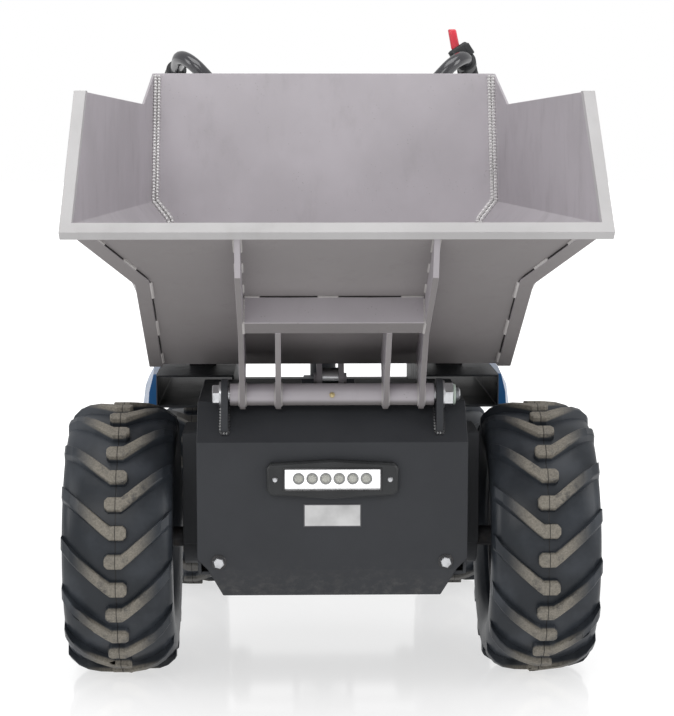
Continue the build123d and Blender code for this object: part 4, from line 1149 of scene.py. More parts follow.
# ---- the front box ------------------------------------------------------------------------------------
@dataclass
class FrontBox(NearAxle):
    """Bolts, blank plate, lamp and pivot hardware on the front of the chassis."""

    face_behind: float = -0.165
    fold_z: float = 0.372
    top_behind: float = -0.104
    top_z: float = 0.425
    bolt_x: float = 0.165
    bolt_z: float = 0.197
    plate_size: tuple[float, float] = (0.084, 0.034)
    plate_z: float = 0.2655
    lamp_z: float = 0.320
    lamp_depth: float = 0.014
    screw_x: float = 0.083
    window: tuple[float, float] = (0.1378, 0.0294)
    led_count: int = 6
    led_pitch: float = 0.0196
    led_radius: float = 0.0078
    ear_x: float = 0.156
    ear_half: float = 0.005
    pivot_behind: float = -0.130
    pivot_z: float = 0.438
    pin_radius: float = 0.010
    bolt_flange: float = 0.0112
    bolt_head: float = 0.0082
    # Where the domed bolts on top sit: in from the lower bolts, and behind the top's front edge.
    dome_in: float = 0.035
    dome_behind: float = 0.16
    plate_border: float = 0.0036
    screw_radius: float = 0.0040
    washer: float = 0.003
    washer_radii: tuple[float, float] = (0.019, 0.020)
    pin_head: float = 0.010
    nut: float = 0.0125
    # How far the pin's threads reach past the ear, and how far apart the threads are.
    thread_start: float = 0.0145
    thread_pitch: float = 0.0011
    threads: int = 9

    def bolts(self) -> None:
        """Screw the cover on with flanged bolts."""
        shape = Shape()
        wide, across = self.bolt_flange, self.bolt_head
        flange = [(0.0, 0.0), (0.0, wide), (0.0010, wide), (0.0016, wide - 0.0008), (0.0016, 0.0)]
        head = [(0.0016, 0.0), (0.0016, across + 0.0008), (0.0030, across), (0.0078, across)]
        dome = [(0.0, 0.0), (0.0, 0.0085), (0.0022, 0.0078), (0.0040, 0.0045), (0.0040, 0.0022)]
        for side in Side:
            start = self.at(side.value * self.bolt_x, self.face_behind, self.bolt_z)
            shape.turned(flange, start, AHEAD, 32)
            shape.finish_new(0)
            shape.turned([*head, (0.0090, 0.0070), (0.0090, 0.0)], start, AHEAD, 6)
            shape.finish_new(1)
            across = side.value * (self.bolt_x - self.dome_in)
            top = self.at(across, self.top_behind + self.dome_behind, self.top_z)
            shape.turned([*dome, (0.0024, 0.0)], top, UP, 24)
            shape.finish_new(0)
        shape.piece("cover_bolts", Body.CHASSIS.value, BOLT_BLACK, ZINC)

    def plate(self) -> None:
        """Stick on the blank plate."""
        shape = Shape()
        wide, high = self.plate_size
        face = self.at(0.0, self.face_behind, self.plate_z)
        shape.block(face + AHEAD * 0.0003, (wide, 0.0010, high), 0.0003, 1)
        shape.finish_new(0)
        inner = (wide - self.plate_border, 0.0008, high - self.plate_border)
        shape.block(face + AHEAD * 0.0008, inner, 0.0002, 1)
        shape.finish_new(1)
        shape.piece("blank_plate", Body.CHASSIS.value, PLATE_EDGE, PLATE_WHITE)

    def lamp(self) -> None:
        """Fit the lamp's white plate, with its domes in their rings, which glow as painted light."""
        shape = Shape()
        wide, high = self.window
        back = self.at(0.0, self.face_behind, self.lamp_z)
        shape.block(back + AHEAD * 0.0018, (wide, 0.0030, high), 0.0004, 1)
        shape.finish_new(0)
        r = self.led_radius
        bowl = [(0.0, 0.80 * r), (0.0, 1.10 * r), (0.0016, 1.10 * r), (0.0018, 0.98 * r), (0.0010, 0.80 * r)]
        dome = [(0.0, 0.84 * r), (0.0012, 0.82 * r), (0.0034, 0.60 * r), (0.0042, 0.30 * r), (0.0045, 0.0)]
        for count in range(self.led_count):
            across = (count - (self.led_count - 1) / 2) * self.led_pitch
            spot = back + Vector((across, -0.0033, 0.0))
            shape.turned(bowl, spot, AHEAD, 40, True)
            shape.finish_new(1)
            shape.turned(dome, spot, AHEAD, 32)
            shape.finish_new(2)
        plate = shape.piece("lamp_reflectors", Body.CHASSIS.value, LAMP_WHITE, DOME_RING, DOME_GREY)
        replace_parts(plate, "lamp_leds")

    def lamp_trim(self) -> None:
        """Frame the lamp's window and screw the lamp on."""
        wide, high = self.window
        bar, edge, out = 0.0026, 0.0008, 0.0012
        rim = Shape()
        front = self.at(0.0, self.face_behind - self.lamp_depth + 0.0002, self.lamp_z)
        for sign in (-1, 1):
            rim.block(front + UP * (sign * (high / 2 + out)), (wide + 0.006, 0.0030, bar), edge)
            rim.block(front + RIGHT * (sign * (wide / 2 + out)), (bar, 0.0030, high + 0.004), edge)
        rim.piece("lamp_window_frame", Body.CHASSIS.value, LEVER_BLACK)
        screws = Shape()
        wide = self.screw_radius
        head = [(-0.0005, 0.0), (-0.0005, wide), (0.0008, wide), (0.0022, wide - 0.0010), (0.0025, 0.0014)]
        for side in Side:
            spot = self.at(side.value * self.screw_x, self.face_behind - self.lamp_depth, self.lamp_z)
            screws.turned([*head, (0.0012, 0.0012), (0.0012, 0.0)], spot, AHEAD, 24)
        screws.piece("lamp_screws", Body.CHASSIS.value, ZINC)

    def ear_welds(self) -> None:
        """Weld the pivot ears' feet to the cover."""
        shape = Shape()
        slope = (self.top_z - self.fold_z) / (self.top_behind - self.face_behind)
        foot = self.pivot_behind - 0.0225
        low = self.fold_z + slope * (foot - self.face_behind) + 0.0004
        high = self.top_z + 0.0004
        for side in Side:
            ear = side.value * self.ear_x
            for face in (-self.ear_half, self.ear_half):
                stops = ((foot, low), (self.top_behind, high), (self.top_behind + 0.010, high))
                shape.bead([self.at(ear + face, behind, z) for behind, z in stops], 0.0034, 0.0056)
            shape.bead([self.at(ear + end, foot - 0.0006, low) for end in (-0.006, 0.006)], 0.0036)
        shape.piece("ear_welds", Body.CHASSIS.value, BLACK_WELD)

    def pin(self) -> None:
        """Turn the pivot pin, with its head, washers, nut and nylon ring."""
        shape = Shape()
        centre = self.at(0.0, self.pivot_behind, self.pivot_z)
        outer, thick, nut = self.ear_x + self.ear_half, self.washer, self.nut
        left_end, right_end = centre - RIGHT * (outer + thick), centre + RIGHT * (outer + thick)
        threads_at = centre + RIGHT * (outer + self.thread_start)
        shape.rod(left_end, threads_at, self.pin_radius - 0.0001, 40)
        for start, radius in zip((-outer - thick, outer), self.washer_radii):
            ring = [(0.0, 0.0), (0.0, radius - 0.0006), (0.0006, radius), (thick, radius), (thick, 0.0)]
            shape.turned(ring, centre + RIGHT * start, RIGHT, 48)
        head = self.pin_head
        flat = [(0.0, 0.0), (0.0, 0.0150), (head - 0.0012, 0.0150), (head, 0.0132), (head, 0.0100)]
        shape.turned([*flat, (head - 0.0005, 0.0095), (head - 0.0005, 0.0)], left_end, -RIGHT, 6)
        flat = [(0.0, 0.0), (0.0, 0.0175), (nut - 0.0010, 0.0175), (nut, 0.0158), (nut, 0.0)]
        shape.turned(flat, right_end, RIGHT, 6)
        ridges = [(0.0, 0.0)]
        for count in range(self.threads):
            along = count * self.thread_pitch
            ridges += [(along, 0.0086), (along + self.thread_pitch / 2, 0.0096)]
        ridges += [(0.0100, 0.0082), (0.0112, 0.0070), (0.0112, 0.0)]
        shape.turned(ridges, threads_at, RIGHT, 32)
        shape.finish_new(0)
        collar = [(0.0, 0.0096), (0.0, 0.0152), (0.0022, 0.0150), (0.0034, 0.0138), (0.0034, 0.0096)]
        shape.turned(collar, right_end + RIGHT * nut, RIGHT, 40, True)
        shape.finish_new(1)
        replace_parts(shape.piece("pivot_hardware", Body.CHASSIS.value, ZINC, NYLON), "pivot_pin")

    def build(self) -> None:
        """Make everything."""
        self.bolts()
        self.plate()
        self.lamp()
        self.lamp_trim()
        self.ear_welds()
        self.pin()


# ---- wheels -------------------------------------------------------------------------------------------
@dataclass
class Wheel:
    """A lugged tyre on a pressed steel rim."""

    end: str
    side: Side
    radius: float
    width: float
    rim_radius: float
    lugs: int
    lug_height: float
    lug_width: float = 0.019
    overlap: float = 0.016
    steps: int = 96
    # Columns: share of the half-width, share of the radius, how far the bar trails as a share of the radius.
    stations: list[Point] = field(
        default_factory=lambda: [
            (0.10, 1.0, 0.0),
            (0.20, 0.9985, 0.032),
            (0.42, 0.993, 0.111),
            (0.64, 0.978, 0.189),
            (0.80, 0.950, 0.246),
            (0.93, 0.905, 0.292),
            (0.965, 0.880, 0.306),
        ]
    )
    bead_share: float = 0.70
    wall: float = 0.004
    flange: float = 0.009
    hub_radius: float = 0.036
    disc_face: float = 0.008
    disc_rim: float = 0.018
    hub_cap: float = 0.022
    windows: int = 4
    nuts: int = 4
    # The share of dust on the lugs; a low share also darkens them as painted shade.
    dust: float = 1.0
    # How far the foot of a lug spreads on each side, and how deep it is sunk in the crown.
    foot_spread: float = 0.0032
    foot_sunk: float = 0.005
    # The depth of the barrel's well, and the thickness of the disc.
    well_depth: float = 0.011
    disc_plate: float = 0.004
    # The round windows' place and radius, as shares of the rim's radius.
    window_place: float = 0.80
    window_size: float = 0.125
    nut_radius: float = 0.0074
    nut_height: float = 0.0085
    stud_radius: float = 0.0038
    stud_height: float = 0.0125
    # The valve's stem and its cap, as columns: radius, length.
    valve_stem: tuple[float, float] = (0.0036, 0.020)
    valve_cap: tuple[float, float] = (0.0044, 0.027)

    @property
    def name(self) -> str:
        """The end and side of the wheel, as in its nodes' names."""
        return f"{self.end}_{self.side.name.lower()}"

    @property
    def centre(self) -> Vector:
        """The wheel's centre."""
        place = joint_place("roll_" + self.name)
        return Vector((middle("tyre_" + self.name).x, place.y, place.z))

    @property
    def outward(self) -> Vector:
        """Away from the machine."""
        return Vector((self.side.value, 0.0, 0.0))

    def bar(self, bm: bmesh.types.BMesh, turn: float, side: int) -> None:
        """Add one bar of the tread.

        Args:
            bm: The mesh to add to.
            turn: Where its inner end lies round the wheel.
            side: Which half of the tread it is on, as a sign.
        """
        half = self.width / 2
        cut = 0.26 * self.lug_width
        size = self.radius
        places = [(-self.overlap, size, 0.0, 2 * cut), (cut - self.overlap, size, 0.0, 0.0)]
        places += [(share * half, top * size, trail * size, 0.0) for share, top, trail in self.stations]
        cap, first = None, True
        for across, top, trail, less in places:
            foot = top - self.lug_height - self.foot_sunk
            angle = turn - trail / top
            wide = (self.lug_width - less) / 2
            corners = []
            for reach, edge in (
                (foot, -wide - self.foot_spread),
                (top, -wide),
                (top, wide),
                (foot, wide + self.foot_spread),
            ):
                swing = angle + edge / reach
                corners.append(self.centre + Vector((side * across, reach * cos(swing), reach * sin(swing))))
            if cap is None:
                cap = bm.faces.new([bm.verts.new(corner) for corner in corners])
                continue
            grown = bmesh.ops.extrude_face_region(bm, geom=[cap], use_keep_orig=first)["geom"]
            cap, first = next(item for item in grown if isinstance(item, bmesh.types.BMFace)), False
            for vert, corner in zip(cap.verts, corners):
                vert.co = corner

    def tyre(self) -> None:
        """Make the tyre, in place of its CAD node."""
        half, bead = self.width / 2, self.rim_radius + 0.0003
        rise = self.radius - self.lug_height - bead
        # Columns: share of the half-width, share of the height from bead to crown.
        profile = [
            (0.60, 0.0), (0.66, 0.0), (0.70, 0.03), (0.715, 0.12), (0.76, 0.145), (0.80, 0.15), (0.87, 0.24),
            (0.94, 0.38), (0.975, 0.52), (0.972, 0.66), (0.955, 0.76), (0.90, 0.84), (0.80, 0.905),
            (0.58, 0.965), (0.30, 0.992), (0.0, 1.0),
        ]
        right = [(share * half, bead + up * rise) for share, up in profile]
        shape = Shape()
        outline = [(-across, reach) for across, reach in right] + right[-2::-1]
        shape.turned(outline, self.centre, RIGHT, self.steps, True)
        pitch = 2 * pi / self.lugs
        for count in range(self.lugs):
            for side, shift in ((1, 0.25), (-1, -0.25)):
                self.bar(shape.bm, 1.5 * pi + (count + shift) * pitch, side)
        sizes = (tuple(self.centre), self.radius, half, self.lug_height, self.dust)
        rubber = TyreRubber("rubber_" + self.name, "tyre_rubber", *sizes)
        piece = shape.piece("tyre_" + self.name + "_tread", "wheel_" + self.name, rubber)
        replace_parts(rounded(piece, 0.0016, 40.0), "tyre_" + self.name)

    def barrel(self, shape: Shape) -> None:
        """Roll the rim's barrel and its flanges.

        Args:
            shape: The mesh to add to.
        """
        half = self.bead_share * self.width / 2 + 0.0003
        seat, inner = self.rim_radius, self.rim_radius - self.wall
        top = seat + self.flange - 0.0002
        well = seat - self.well_depth
        lip = [
            (half + 0.0030, inner + 0.002), (half + 0.0036, top - 0.0015), (half + 0.0024, top),
            (half + 0.0008, top - 0.0008), (half, top - 0.003), (half, seat + 0.001), (half - 0.001, seat),
        ]
        hollow = [(0.22 * half, seat), (0.12 * half, well), (-0.35 * half, well), (-0.48 * half, seat)]
        far_lip = [(-across, reach) for across, reach in reversed(lip)]
        under = [
            (-half + 0.002, inner), (-0.52 * half, inner), (-0.36 * half, well - self.wall),
            (0.13 * half, well - self.wall), (0.25 * half, inner), (half - 0.002, inner),
        ]
        shape.turned([*lip, *hollow, *far_lip, *under], self.centre, self.outward, 72, True)

    def disc(self) -> None:
        """Press the rim's disc, with its round windows."""
        shape = Shape()
        inner = self.rim_radius - self.wall
        place, size = self.window_place * self.rim_radius, self.window_size * self.rim_radius
        steps = 64
        face = self.disc_face
        # Columns: across, radius.
        outline = [
            (face, self.hub_radius - 0.002), (face, 0.50 * self.rim_radius), (face, 0.62 * self.rim_radius),
            (face + 0.0015, place - 1.35 * size), (face + 0.0030, place - 0.45 * size),
            (face + 0.0045, place + 0.45 * size), (face + 0.0060, min(place + 1.30 * size, inner - 0.003)),
            (self.disc_rim, inner - 0.0008), (self.disc_rim + 0.010, inner),
        ]
        shape.turned(outline, self.centre, self.outward, steps)
        bmesh.ops.remove_doubles(shape.bm, verts=shape.bm.verts, dist=MERGE)
        for count in range(self.windows):
            turn = 2 * pi * (count + 0.5) / self.windows
            heart = self.centre + Vector((0.0, place * cos(turn), place * sin(turn)))
            spots = [(facet, facet.calc_center_median()) for facet in shape.bm.faces]
            gone = [facet for facet, spot in spots if hypot(spot.y - heart.y, spot.z - heart.z) < 1.05 * size]
            bmesh.ops.delete(shape.bm, geom=gone, context="FACES")
            for edge in [each for each in shape.bm.edges if each.is_boundary]:
                for vert in edge.verts:
                    away = Vector((0.0, vert.co.y - heart.y, vert.co.z - heart.z))
                    if away.length < 1.9 * size:
                        away = away.normalized() * size
                        vert.co = Vector((vert.co.x, heart.y + away.y, heart.z + away.z))
        bmesh.ops.recalc_face_normals(shape.bm, faces=shape.bm.faces)
        bmesh.ops.solidify(shape.bm, geom=shape.bm.faces[:], thickness=self.disc_plate)
        piece = shape.piece("rim_" + self.name + "_disc", "wheel_" + self.name, RIM_PAINT)
        rounded(piece, 0.0006, 50.0)

    def hub(self, shape: Shape) -> None:
        """Turn the hub, with its cap, nuts and studs, and the valve.

        Args:
            shape: The mesh to add to.
        """
        back, cap, bore = self.hub_cap - 0.046, self.hub_cap, 0.0155
        face, size = self.disc_face, self.hub_radius
        outline = [
            (back, bore), (back, size - 0.007), (back + 0.001, size - 0.006), (face - 0.001, size - 0.006),
            (face - 0.001, size), (face + 0.004, size), (face + 0.006, size - 0.008),
            (cap - 0.004, size - 0.012), (cap - 0.001, size - 0.0145), (cap, size - 0.018), (cap, 0.0),
            (cap - 0.005, 0.0), (cap - 0.005, bore),
        ]
        shape.turned(outline, self.centre, self.outward, 48, True)
        shape.finish_new(0)
        reach = (self.hub_radius + 0.66 * self.rim_radius) / 2
        for count in range(self.nuts):
            turn = 2 * pi * count / self.nuts
            spot = self.centre + Vector((0.0, reach * cos(turn), reach * sin(turn)))
            spot += self.outward * (face + 0.003)
            shape.rod(spot, spot + self.outward * self.nut_height, self.nut_radius, 6, 0.0009)
            shape.rod(spot, spot + self.outward * self.stud_height, self.stud_radius, 16)
        shape.finish_new(1)
        turn = pi / 4 + pi / self.windows
        spot = Vector((0.0, cos(turn), sin(turn))) * (self.rim_radius - 0.012)
        start = self.centre + spot + self.outward * (self.disc_rim - 0.006)
        (thin, neck), (thick, end) = self.valve_stem, self.valve_cap
        top = start + self.outward * neck
        shape.rod(start, top, thin, 16)
        shape.rod(top, start + self.outward * end, thick, 12, 0.0010)
        shape.finish_new(2)

    def build(self) -> None:
        """Make everything."""
        self.tyre()
        shape = Shape()
        self.barrel(shape)
        self.hub(shape)
        rolled = shape.piece("rim_" + self.name + "_barrel", "wheel_" + self.name, RIM_PAINT, ZINC, PLASTIC)
        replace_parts(rolled, "rim_" + self.name)
        self.disc()


# ---- steering -----------------------------------------------------------------------------------------
@dataclass
class Handlebar:
    """The bent tube, its grips, brake levers and switch block, and the console's face."""

    ahead: float = 0.031
    low_z: float = 0.872
    straight: float = 0.168
    hump_x: float = 0.250
    hump_z: float = 0.960
    grip_x: float = 0.282
    grip_z: float = 0.888
    grip_behind: float = 0.190
    bend: float = 0.042
    tube_radius: float = 0.0125
    grip_radius: float = 0.017
    grip_length: float = 0.112
    clamp: float = 0.018
    lever_gap: float = 0.004
    lever_drop: float = 0.033
    switch_length: float = 0.024
    switch_gap: float = 0.004
    switch_rise: float = 0.0300
    switch_tilt: float = 0.58
    tip_size: Point = (0.0152, 0.0110, 0.0370)
    tip_lean: float = 0.20
    tip_taper: float = 2.4
    clamp_radius: float = 0.0184
    clamp_edge: float = 0.0012
    ribs: int = 16
    # The switch block, the button plate on it and the bulge at its side, as columns: place, size,
    # width of the edges' bevel, faces in the bevel.
    switch_blocks: tuple[tuple[Point, Point, float, int], ...] = (
        ((0.0, 0.0, 0.0), (0.038, 0.024, 0.023), 0.0050, 3),
        ((-0.008, 0.0, 0.0088), (0.0215, 0.0195, 0.0030), 0.0010, 2),
        ((0.0150, -0.0004, -0.004), (0.0120, 0.024, 0.022), 0.0024, 3),
    )
    # The lever's middle line, as columns: back along the bar, and up, from its lowest stretch.
    lever_line: tuple[tuple[float, float], ...] = (
        (0.0, 0.017),
        (-0.001, 0.009),
        (0.006, 0.004),
        (0.020, 0.0),
        (0.055, -0.0005),
        (0.090, 0.0015),
        (0.106, 0.0010),
        (0.1095, 0.0),
    )
    lever_steps: int = 5
    # The display, the stop button and the key switch, as columns: across and up from the console's middle.
    display_at: tuple[float, float] = (-0.022, 0.010)
    stop_at: tuple[float, float] = (0.048, 0.012)
    key_at: tuple[float, float] = (0.046, -0.020)
    display_size: tuple[float, float] = (0.072, 0.036)

    @property
    def column(self) -> Vector:
        """The foot of the steering column's axis."""
        place = joint_place("steer")
        return Vector((0.0, place.y, 0.0))

    def corners(self, side: Side) -> list[Vector]:
        """The bar's corners on one side, from the middle to the grip."""
        sign = side.value
        return [
            self.column + Vector((sign * self.straight, -self.ahead, self.low_z)),
            self.column + Vector((sign * self.hump_x, -self.ahead, self.hump_z)),
            self.column + Vector((sign * self.grip_x, self.grip_behind, self.grip_z)),
        ]

    def frame_at(self, side: Side) -> tuple[Vector, Vector, Vector, Vector]:
        """The grip's end and its directions.

        Args:
            side: Which side.

        Returns:
            The bar's end, and the directions along it to the rear, sideways and up.
        """
        _, hump, end = self.corners(side)
        along = (end - hump).normalized()
        across = along.cross(UP).normalized()
        return end, along, across, across.cross(along)

    def collar(self, shape: Shape, start: Vector, along: Vector, length: float, edge: float) -> None:
        """Clamp a collar round the tube.

        Args:
            shape: The mesh to add to.
            start: The middle of its first end.
            along: The tube's direction.
            length: Its length.
            edge: The chamfer's length.
        """
        r, wide = self.tube_radius + 0.0001, self.clamp_radius
        low = wide - self.clamp_edge
        ring = [(0.0, r), (0.0, low), (edge, wide), (length - edge, wide), (length, low), (length, r)]
        shape.turned(ring, start, along, 40, True)

    def tube(self) -> None:
        """Bend the tube."""
        shape = Shape()
        path = bent([*self.corners(Side.LEFT)[::-1], *self.corners(Side.RIGHT)], self.bend, 12)
        shape.swept(path, [self.tube_radius] * len(path), 32)
        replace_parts(shape.piece("bar_tube", Body.STEERING.value, BAR_PAINT), "handlebar")

    def grip(self, shape: Shape, side: Side) -> None:
        """Mould one ribbed grip.

        Args:
            shape: The mesh to add to.
            side: Which side.
        """
        end, along, _, _ = self.frame_at(side)
        start = end - along * (self.grip_length - 0.004)
        r, length, bore = self.grip_radius, self.grip_length, self.tube_radius + 0.0001
        crest, foot, groove = 0.0012, 0.0022, r - 0.0012
        outline = [(0.0, bore), (0.0, r + 0.0020), (0.0035, r + 0.0022), (0.0050, r)]
        for rib in range(self.ribs):
            place = 0.008 + rib * (length - 0.024) / (self.ribs - 1)
            outline += [(place - foot, groove), (place - crest, r)]
            outline += [(place + crest, r), (place + foot, groove)]
        outline += [(length - 0.008, r), (length - 0.002, r - 0.0004), (length, r - 0.0026), (length, 0.0)]
        outline += [(length - 0.0035, 0.0), (length - 0.0035, bore)]
        shape.turned(outline, start, along, 32, True)

    def lever(self, shape: Shape, side: Side) -> None:
        """Cast one brake lever and its clamp.

        Args:
            shape: The mesh to add to.
            side: Which side.
        """
        end, along, across, up = self.frame_at(side)
        start = end - along * (self.grip_length + self.lever_gap)
        front = start - along * self.clamp
        self.collar(shape, front, along, self.clamp, self.clamp_edge)
        hub = front + along * (self.clamp / 2)
        shape.finish_new(0)
        low = hub - up * self.lever_drop
        smooth = curved([low + along * back + up * rise for back, rise in self.lever_line], self.lever_steps)
        reaches = [0.0075 - 0.0028 * min(1.0, index / 20) for index in range(len(smooth) - 1)] + [0.0034]
        shape.swept(smooth, reaches, 14, 0.62)
        pivot, reach = hub - up * 0.021, across * 0.011
        shape.rod(pivot - reach, pivot + reach, 0.0035, 16)
        shape.finish_new(1)

    def switch(self, shape: Shape) -> None:
        """Mould the switch block on the right side of the bar.

        Args:
            shape: The mesh to add to.
        """
        low, hump, end = self.corners(Side.RIGHT)
        along = (end - hump).normalized()
        turn = pi - (low - hump).angle(end - hump)
        start = hump + along * (self.bend * tan(turn / 2) + self.switch_gap)
        length = self.switch_length
        self.collar(shape, start, along, length, 0.0014)
        heart = start + along * (length / 2)
        centre = Vector((heart.x - 0.011, heart.y, heart.z + self.switch_rise - 0.0105))
        settled = len(shape.bm.verts)
        for place, size, edge, faces in self.switch_blocks:
            shape.block(centre + Vector(place), size, edge, faces)
        shape.bm.verts.ensure_lookup_table()
        tilt = Matrix.Rotation(-self.switch_tilt, 3, "Y")
        bmesh.ops.rotate(shape.bm, verts=shape.bm.verts[settled:], cent=centre, matrix=tilt)
        shape.finish_new(0)
        screw = [(0.0, 0.0), (0.0, 0.0022), (0.0008, 0.0020), (0.0012, 0.0012), (0.0006, 0.0)]
        for across in (-0.013, 0.013):
            shape.turned(screw, centre + Vector((across, -length / 2 + 0.0002, -0.003)), AHEAD, 16)
        shape.finish_new(1)

    def tip(self) -> None:
        """Mould the tipping lever."""
        shape = Shape()
        low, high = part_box("tip_lever")
        height = high.z - self.tip_size[2] / 2 - 0.0004
        centre = Vector(((low.x + high.x) / 2 - 0.008, (low.y + high.y) / 2, height))
        shape.block(centre, self.tip_size, 0.0032, 4)
        for vert in shape.bm.verts:
            rise = vert.co.z - centre.z
            width = (vert.co.x - centre.x) * (1.0 - self.tip_taper * rise)
            vert.co.x = centre.x + width - self.tip_lean * rise
        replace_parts(shape.piece("tipping_lever", Body.STEERING.value, RED_PLASTIC), "tip_lever")

    def face(self) -> None:
        """Fit the console's blank display, key switch and stop button."""
        shape = Shape()
        back = Vector((0.0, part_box("console")[1].y, middle("console").z))
        places = (self.display_at, self.stop_at, self.key_at)
        display, stop, key = (back + RIGHT * across + UP * up for across, up in places)
        wide, high = self.display_size
        shape.block(display + REAR * 0.0006, (wide, 0.0030, high), 0.0010)
        shape.finish_new(0)
        shape.block(display + REAR * 0.0018, (wide - 0.010, 0.0016, high - 0.008), 0.0003, 1)
        shape.finish_new(1)
        collar = [(0.0, 0.0), (0.0, 0.0150), (0.0030, 0.0150), (0.0038, 0.0138), (0.0038, 0.0)]
        shape.turned(collar, stop, REAR, 40)
        shape.finish_new(0)
        knob = [(0.0038, 0.0), (0.0038, 0.0080), (0.0080, 0.0085), (0.0100, 0.0125), (0.0140, 0.0125)]
        shape.turned([*knob, (0.0168, 0.0105), (0.0176, 0.0)], stop, REAR, 40)
        shape.finish_new(2)
        barrel = [(0.0, 0.0), (0.0, 0.0085), (0.0022, 0.0085), (0.0030, 0.0075), (0.0030, 0.0040)]
        shape.turned([*barrel, (0.0018, 0.0)], key, REAR, 32)
        for across in (-0.046, -0.022, 0.002):
            shape.block(back + Vector((across, 0.0020, -0.021)), (0.014, 0.0044, 0.009), 0.0010)
        screw = [(0.0, 0.0), (0.0, 0.0026), (0.0008, 0.0024), (0.0014, 0.0014), (0.0008, 0.0)]
        for across in (-0.066, 0.066):
            for height in (-0.027, 0.027):
                shape.turned(screw, back + Vector((across, 0.0, height)), REAR, 16)
        shape.finish_new(3)
        shape.piece("console_face", Body.STEERING.value, PLASTIC, SCREEN, RED_PLASTIC, ZINC)

    def build(self) -> None:
        """Make everything."""
        self.tube()
        grips, controls = Shape(), Shape()
        for side in Side:
            self.grip(grips, side)
            self.lever(controls, side)
        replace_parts(grips.piece("ribbed_grips", Body.STEERING.value, GRIP_RUBBER), "grips")
        self.switch(controls)
        moulded = controls.piece("levers_and_switch", Body.STEERING.value, PLASTIC, LEVER_BLACK)
        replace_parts(moulded, "bar_controls")
        self.tip()
        self.face()


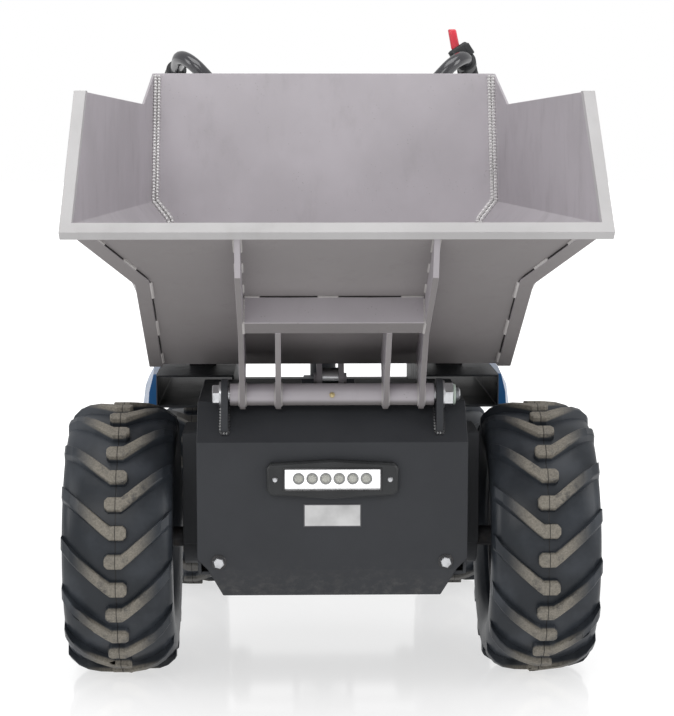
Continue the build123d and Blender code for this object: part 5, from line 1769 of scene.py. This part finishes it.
# ---- stage --------------------------------------------------------------------------------------------
@dataclass
class Studio:
    """The floor, the lights and the camera."""

    eye: Point = (-0.0668, -3.4509, 0.8227)
    lens: float = 109.24
    pitch: float = 6.024
    yaw: float = 1.353
    floor_size: float = 60.0
    room_light: float = 0.50
    sensor: float = 36.0
    # How bright the floor looks close to the machine and far from it, and how much it lights the machine.
    floor_near: Colour = (0.63, 0.63, 0.63)
    floor_far: Colour = (0.96, 0.96, 0.96)
    floor_light: Colour = (0.40, 0.40, 0.40)
    floor_colour: tuple[float, ...] = (0.58, 0.58, 0.582, 1.0)
    # Columns: name, place, point lit, width, depth, power.
    lamps: list[tuple[str, Point, Point, float, float, float]] = field(
        default_factory=lambda: [
            ("top", (0.0, -0.7, 3.4), (0.0, -0.1, 0.4), 2.6, 2.2, 42.0),
            ("front", (-1.2, -4.2, 2.6), (0.0, 0.0, 0.5), 2.2, 1.6, 26.0),
            ("left", (-3.2, -1.2, 1.7), (0.0, -0.2, 0.4), 1.4, 2.0, 22.0),
            ("right", (3.2, -1.2, 1.7), (0.0, -0.2, 0.4), 1.4, 2.0, 26.0),
        ]
    )

    def floor(self) -> None:
        """Lay the floor."""
        bm = bmesh.new()
        bmesh.ops.create_grid(bm, x_segments=1, y_segments=1, size=self.floor_size / 2)
        mesh = bpy.data.meshes.new("floor")
        bm.to_mesh(mesh)
        bm.free()
        material = bpy.data.materials.new("floor")
        nodes = NodeMaker(material)
        across, along, _ = nodes.axes(nodes.place())
        reach = (across * across + along * along).math("SQRT")
        seen = nodes.add("ShaderNodeLightPath", {}, {}, "Is Camera Ray")
        shown = nodes.blend(reach.step(0.5, 1.8), self.floor_near, self.floor_far)
        nodes.surface(
            Base_Color=self.floor_colour,
            Roughness=0.09,
            Specular_IOR_Level=0.5,
            Emission_Color=nodes.blend(seen, self.floor_light, shown),
            Emission_Strength=1.0,
        )
        mesh.materials.append(material)
        ground = bpy.data.objects.new("floor", mesh)
        bpy.context.scene.collection.objects.link(ground)

    def sky(self) -> None:
        """Set an even white world that lights the machine less than it shows."""
        world = bpy.data.worlds.new("studio")
        world.use_nodes = True
        background = world.node_tree.nodes["Background"]
        background.inputs["Color"].default_value = (1.0, 1.0, 1.0, 1.0)
        seen = world.node_tree.nodes.new("ShaderNodeLightPath")
        level = world.node_tree.nodes.new("ShaderNodeMapRange")
        level.inputs["To Min"].default_value = self.room_light
        level.inputs["To Max"].default_value = 1.0
        world.node_tree.links.new(seen.outputs["Is Camera Ray"], level.inputs["Value"])
        world.node_tree.links.new(level.outputs["Result"], background.inputs["Strength"])
        bpy.context.scene.world = world

    def light(self) -> None:
        """Hang the soft lights."""
        for name, place, aim, width, depth, power in self.lamps:
            data = bpy.data.lights.new(name, "AREA")
            data.shape = "RECTANGLE"
            data.size = width
            data.size_y = depth
            data.energy = power
            lamp = bpy.data.objects.new(name, data)
            lamp.location = place
            lamp.rotation_euler = (Vector(aim) - Vector(place)).to_track_quat("-Z", "Y").to_euler()
            bpy.context.scene.collection.objects.link(lamp)

    def shoot(self) -> None:
        """Set up the camera."""
        data = bpy.data.cameras.new("camera")
        data.lens = self.lens
        data.sensor_width = self.sensor
        data.clip_end = 200.0
        camera = bpy.data.objects.new("camera", data)
        camera.location = self.eye
        camera.rotation_euler = (radians(90.0 - self.pitch), 0.0, radians(-self.yaw))
        bpy.context.scene.collection.objects.link(camera)
        bpy.context.scene.camera = camera
        bpy.context.scene.view_settings.view_transform = "Standard"

    def build(self) -> None:
        """Set up everything round the object."""
        self.shoot()
        self.floor()
        self.sky()
        self.light()


# Bevel of each plate's edges, in metres.
SOFT_EDGES: dict[str, float] = {
    "skip_base": 0.0008,
    "skip_back": 0.0010,
    "skip_side_left": 0.0010,
    "skip_side_right": 0.0010,
    "skip_rim": 0.0028,
    "skip_beam": 0.0030,
    "skip_outer_legs": 0.0010,
    "skip_inner_legs": 0.0010,
    "skip_pivot_tube": 0.0008,
    "front_cover": 0.0014,
    "chassis_tub": 0.0010,
    "pivot_ears": 0.0010,
    "lamp_housing": 0.0012,
    "deck_trays": 0.0010,
    "side_fairings": 0.0016,
    "controller_box": 0.0010,
    "stem": 0.0010,
    "console": 0.0020,
    "front_axle": 0.0020,
    "spine": 0.0012,
    "rear_axle": 0.0010,
    "battery": 0.0030,
}

# Heights that a plate's copy is cut off level at, in metres.
LEVEL_TOPS: dict[str, float] = {"skip_rim": 0.8735}

# Columns: end, radius, width, rim's radius, lugs on each side, height of a lug, share of dust. The rear wheels'
# low share is painted shade on their lugs as well as less dust.
WHEELS: tuple[tuple[str, float, float, float, int, float, float], ...] = (
    ("front", 0.205, 0.165, 0.1016, 15, 0.013, 1.0),
    ("rear", 0.165, 0.125, 0.0762, 10, 0.010, 0.4),
)


def dress_nodes() -> None:
    """Give every CAD node its finish, and stand softened copies in for the plates."""
    slots = {row["node"]: row["material_slot"] for row in frame["record"]["subparts"]}
    owners = {
        node: body for body, members in frame["record"]["behaviour"]["bodies"].items() for node in members
    }
    for node, shown in frame["nodes"].items():
        finish = NODE_FINISHES[slots[node]]
        shown.data.materials.clear()
        shown.data.materials.append(finish.material())
        if node in SOFT_EDGES:
            softened(node, owners[node], finish, SOFT_EDGES[node], LEVEL_TOPS.get(node, 0.0))


def main() -> None:
    """Build every sub-assembly in order."""
    logging.basicConfig(level=logging.INFO, format="%(message)s")
    Studio().build()
    dress_nodes()
    Skip().build()
    FrontBox().build()
    Handlebar().build()
    for side in Side:
        for end, *sizes, dust in WHEELS:
            Wheel(end, side, *sizes, dust=dust).build()


if __name__ == "__main__":
    main()
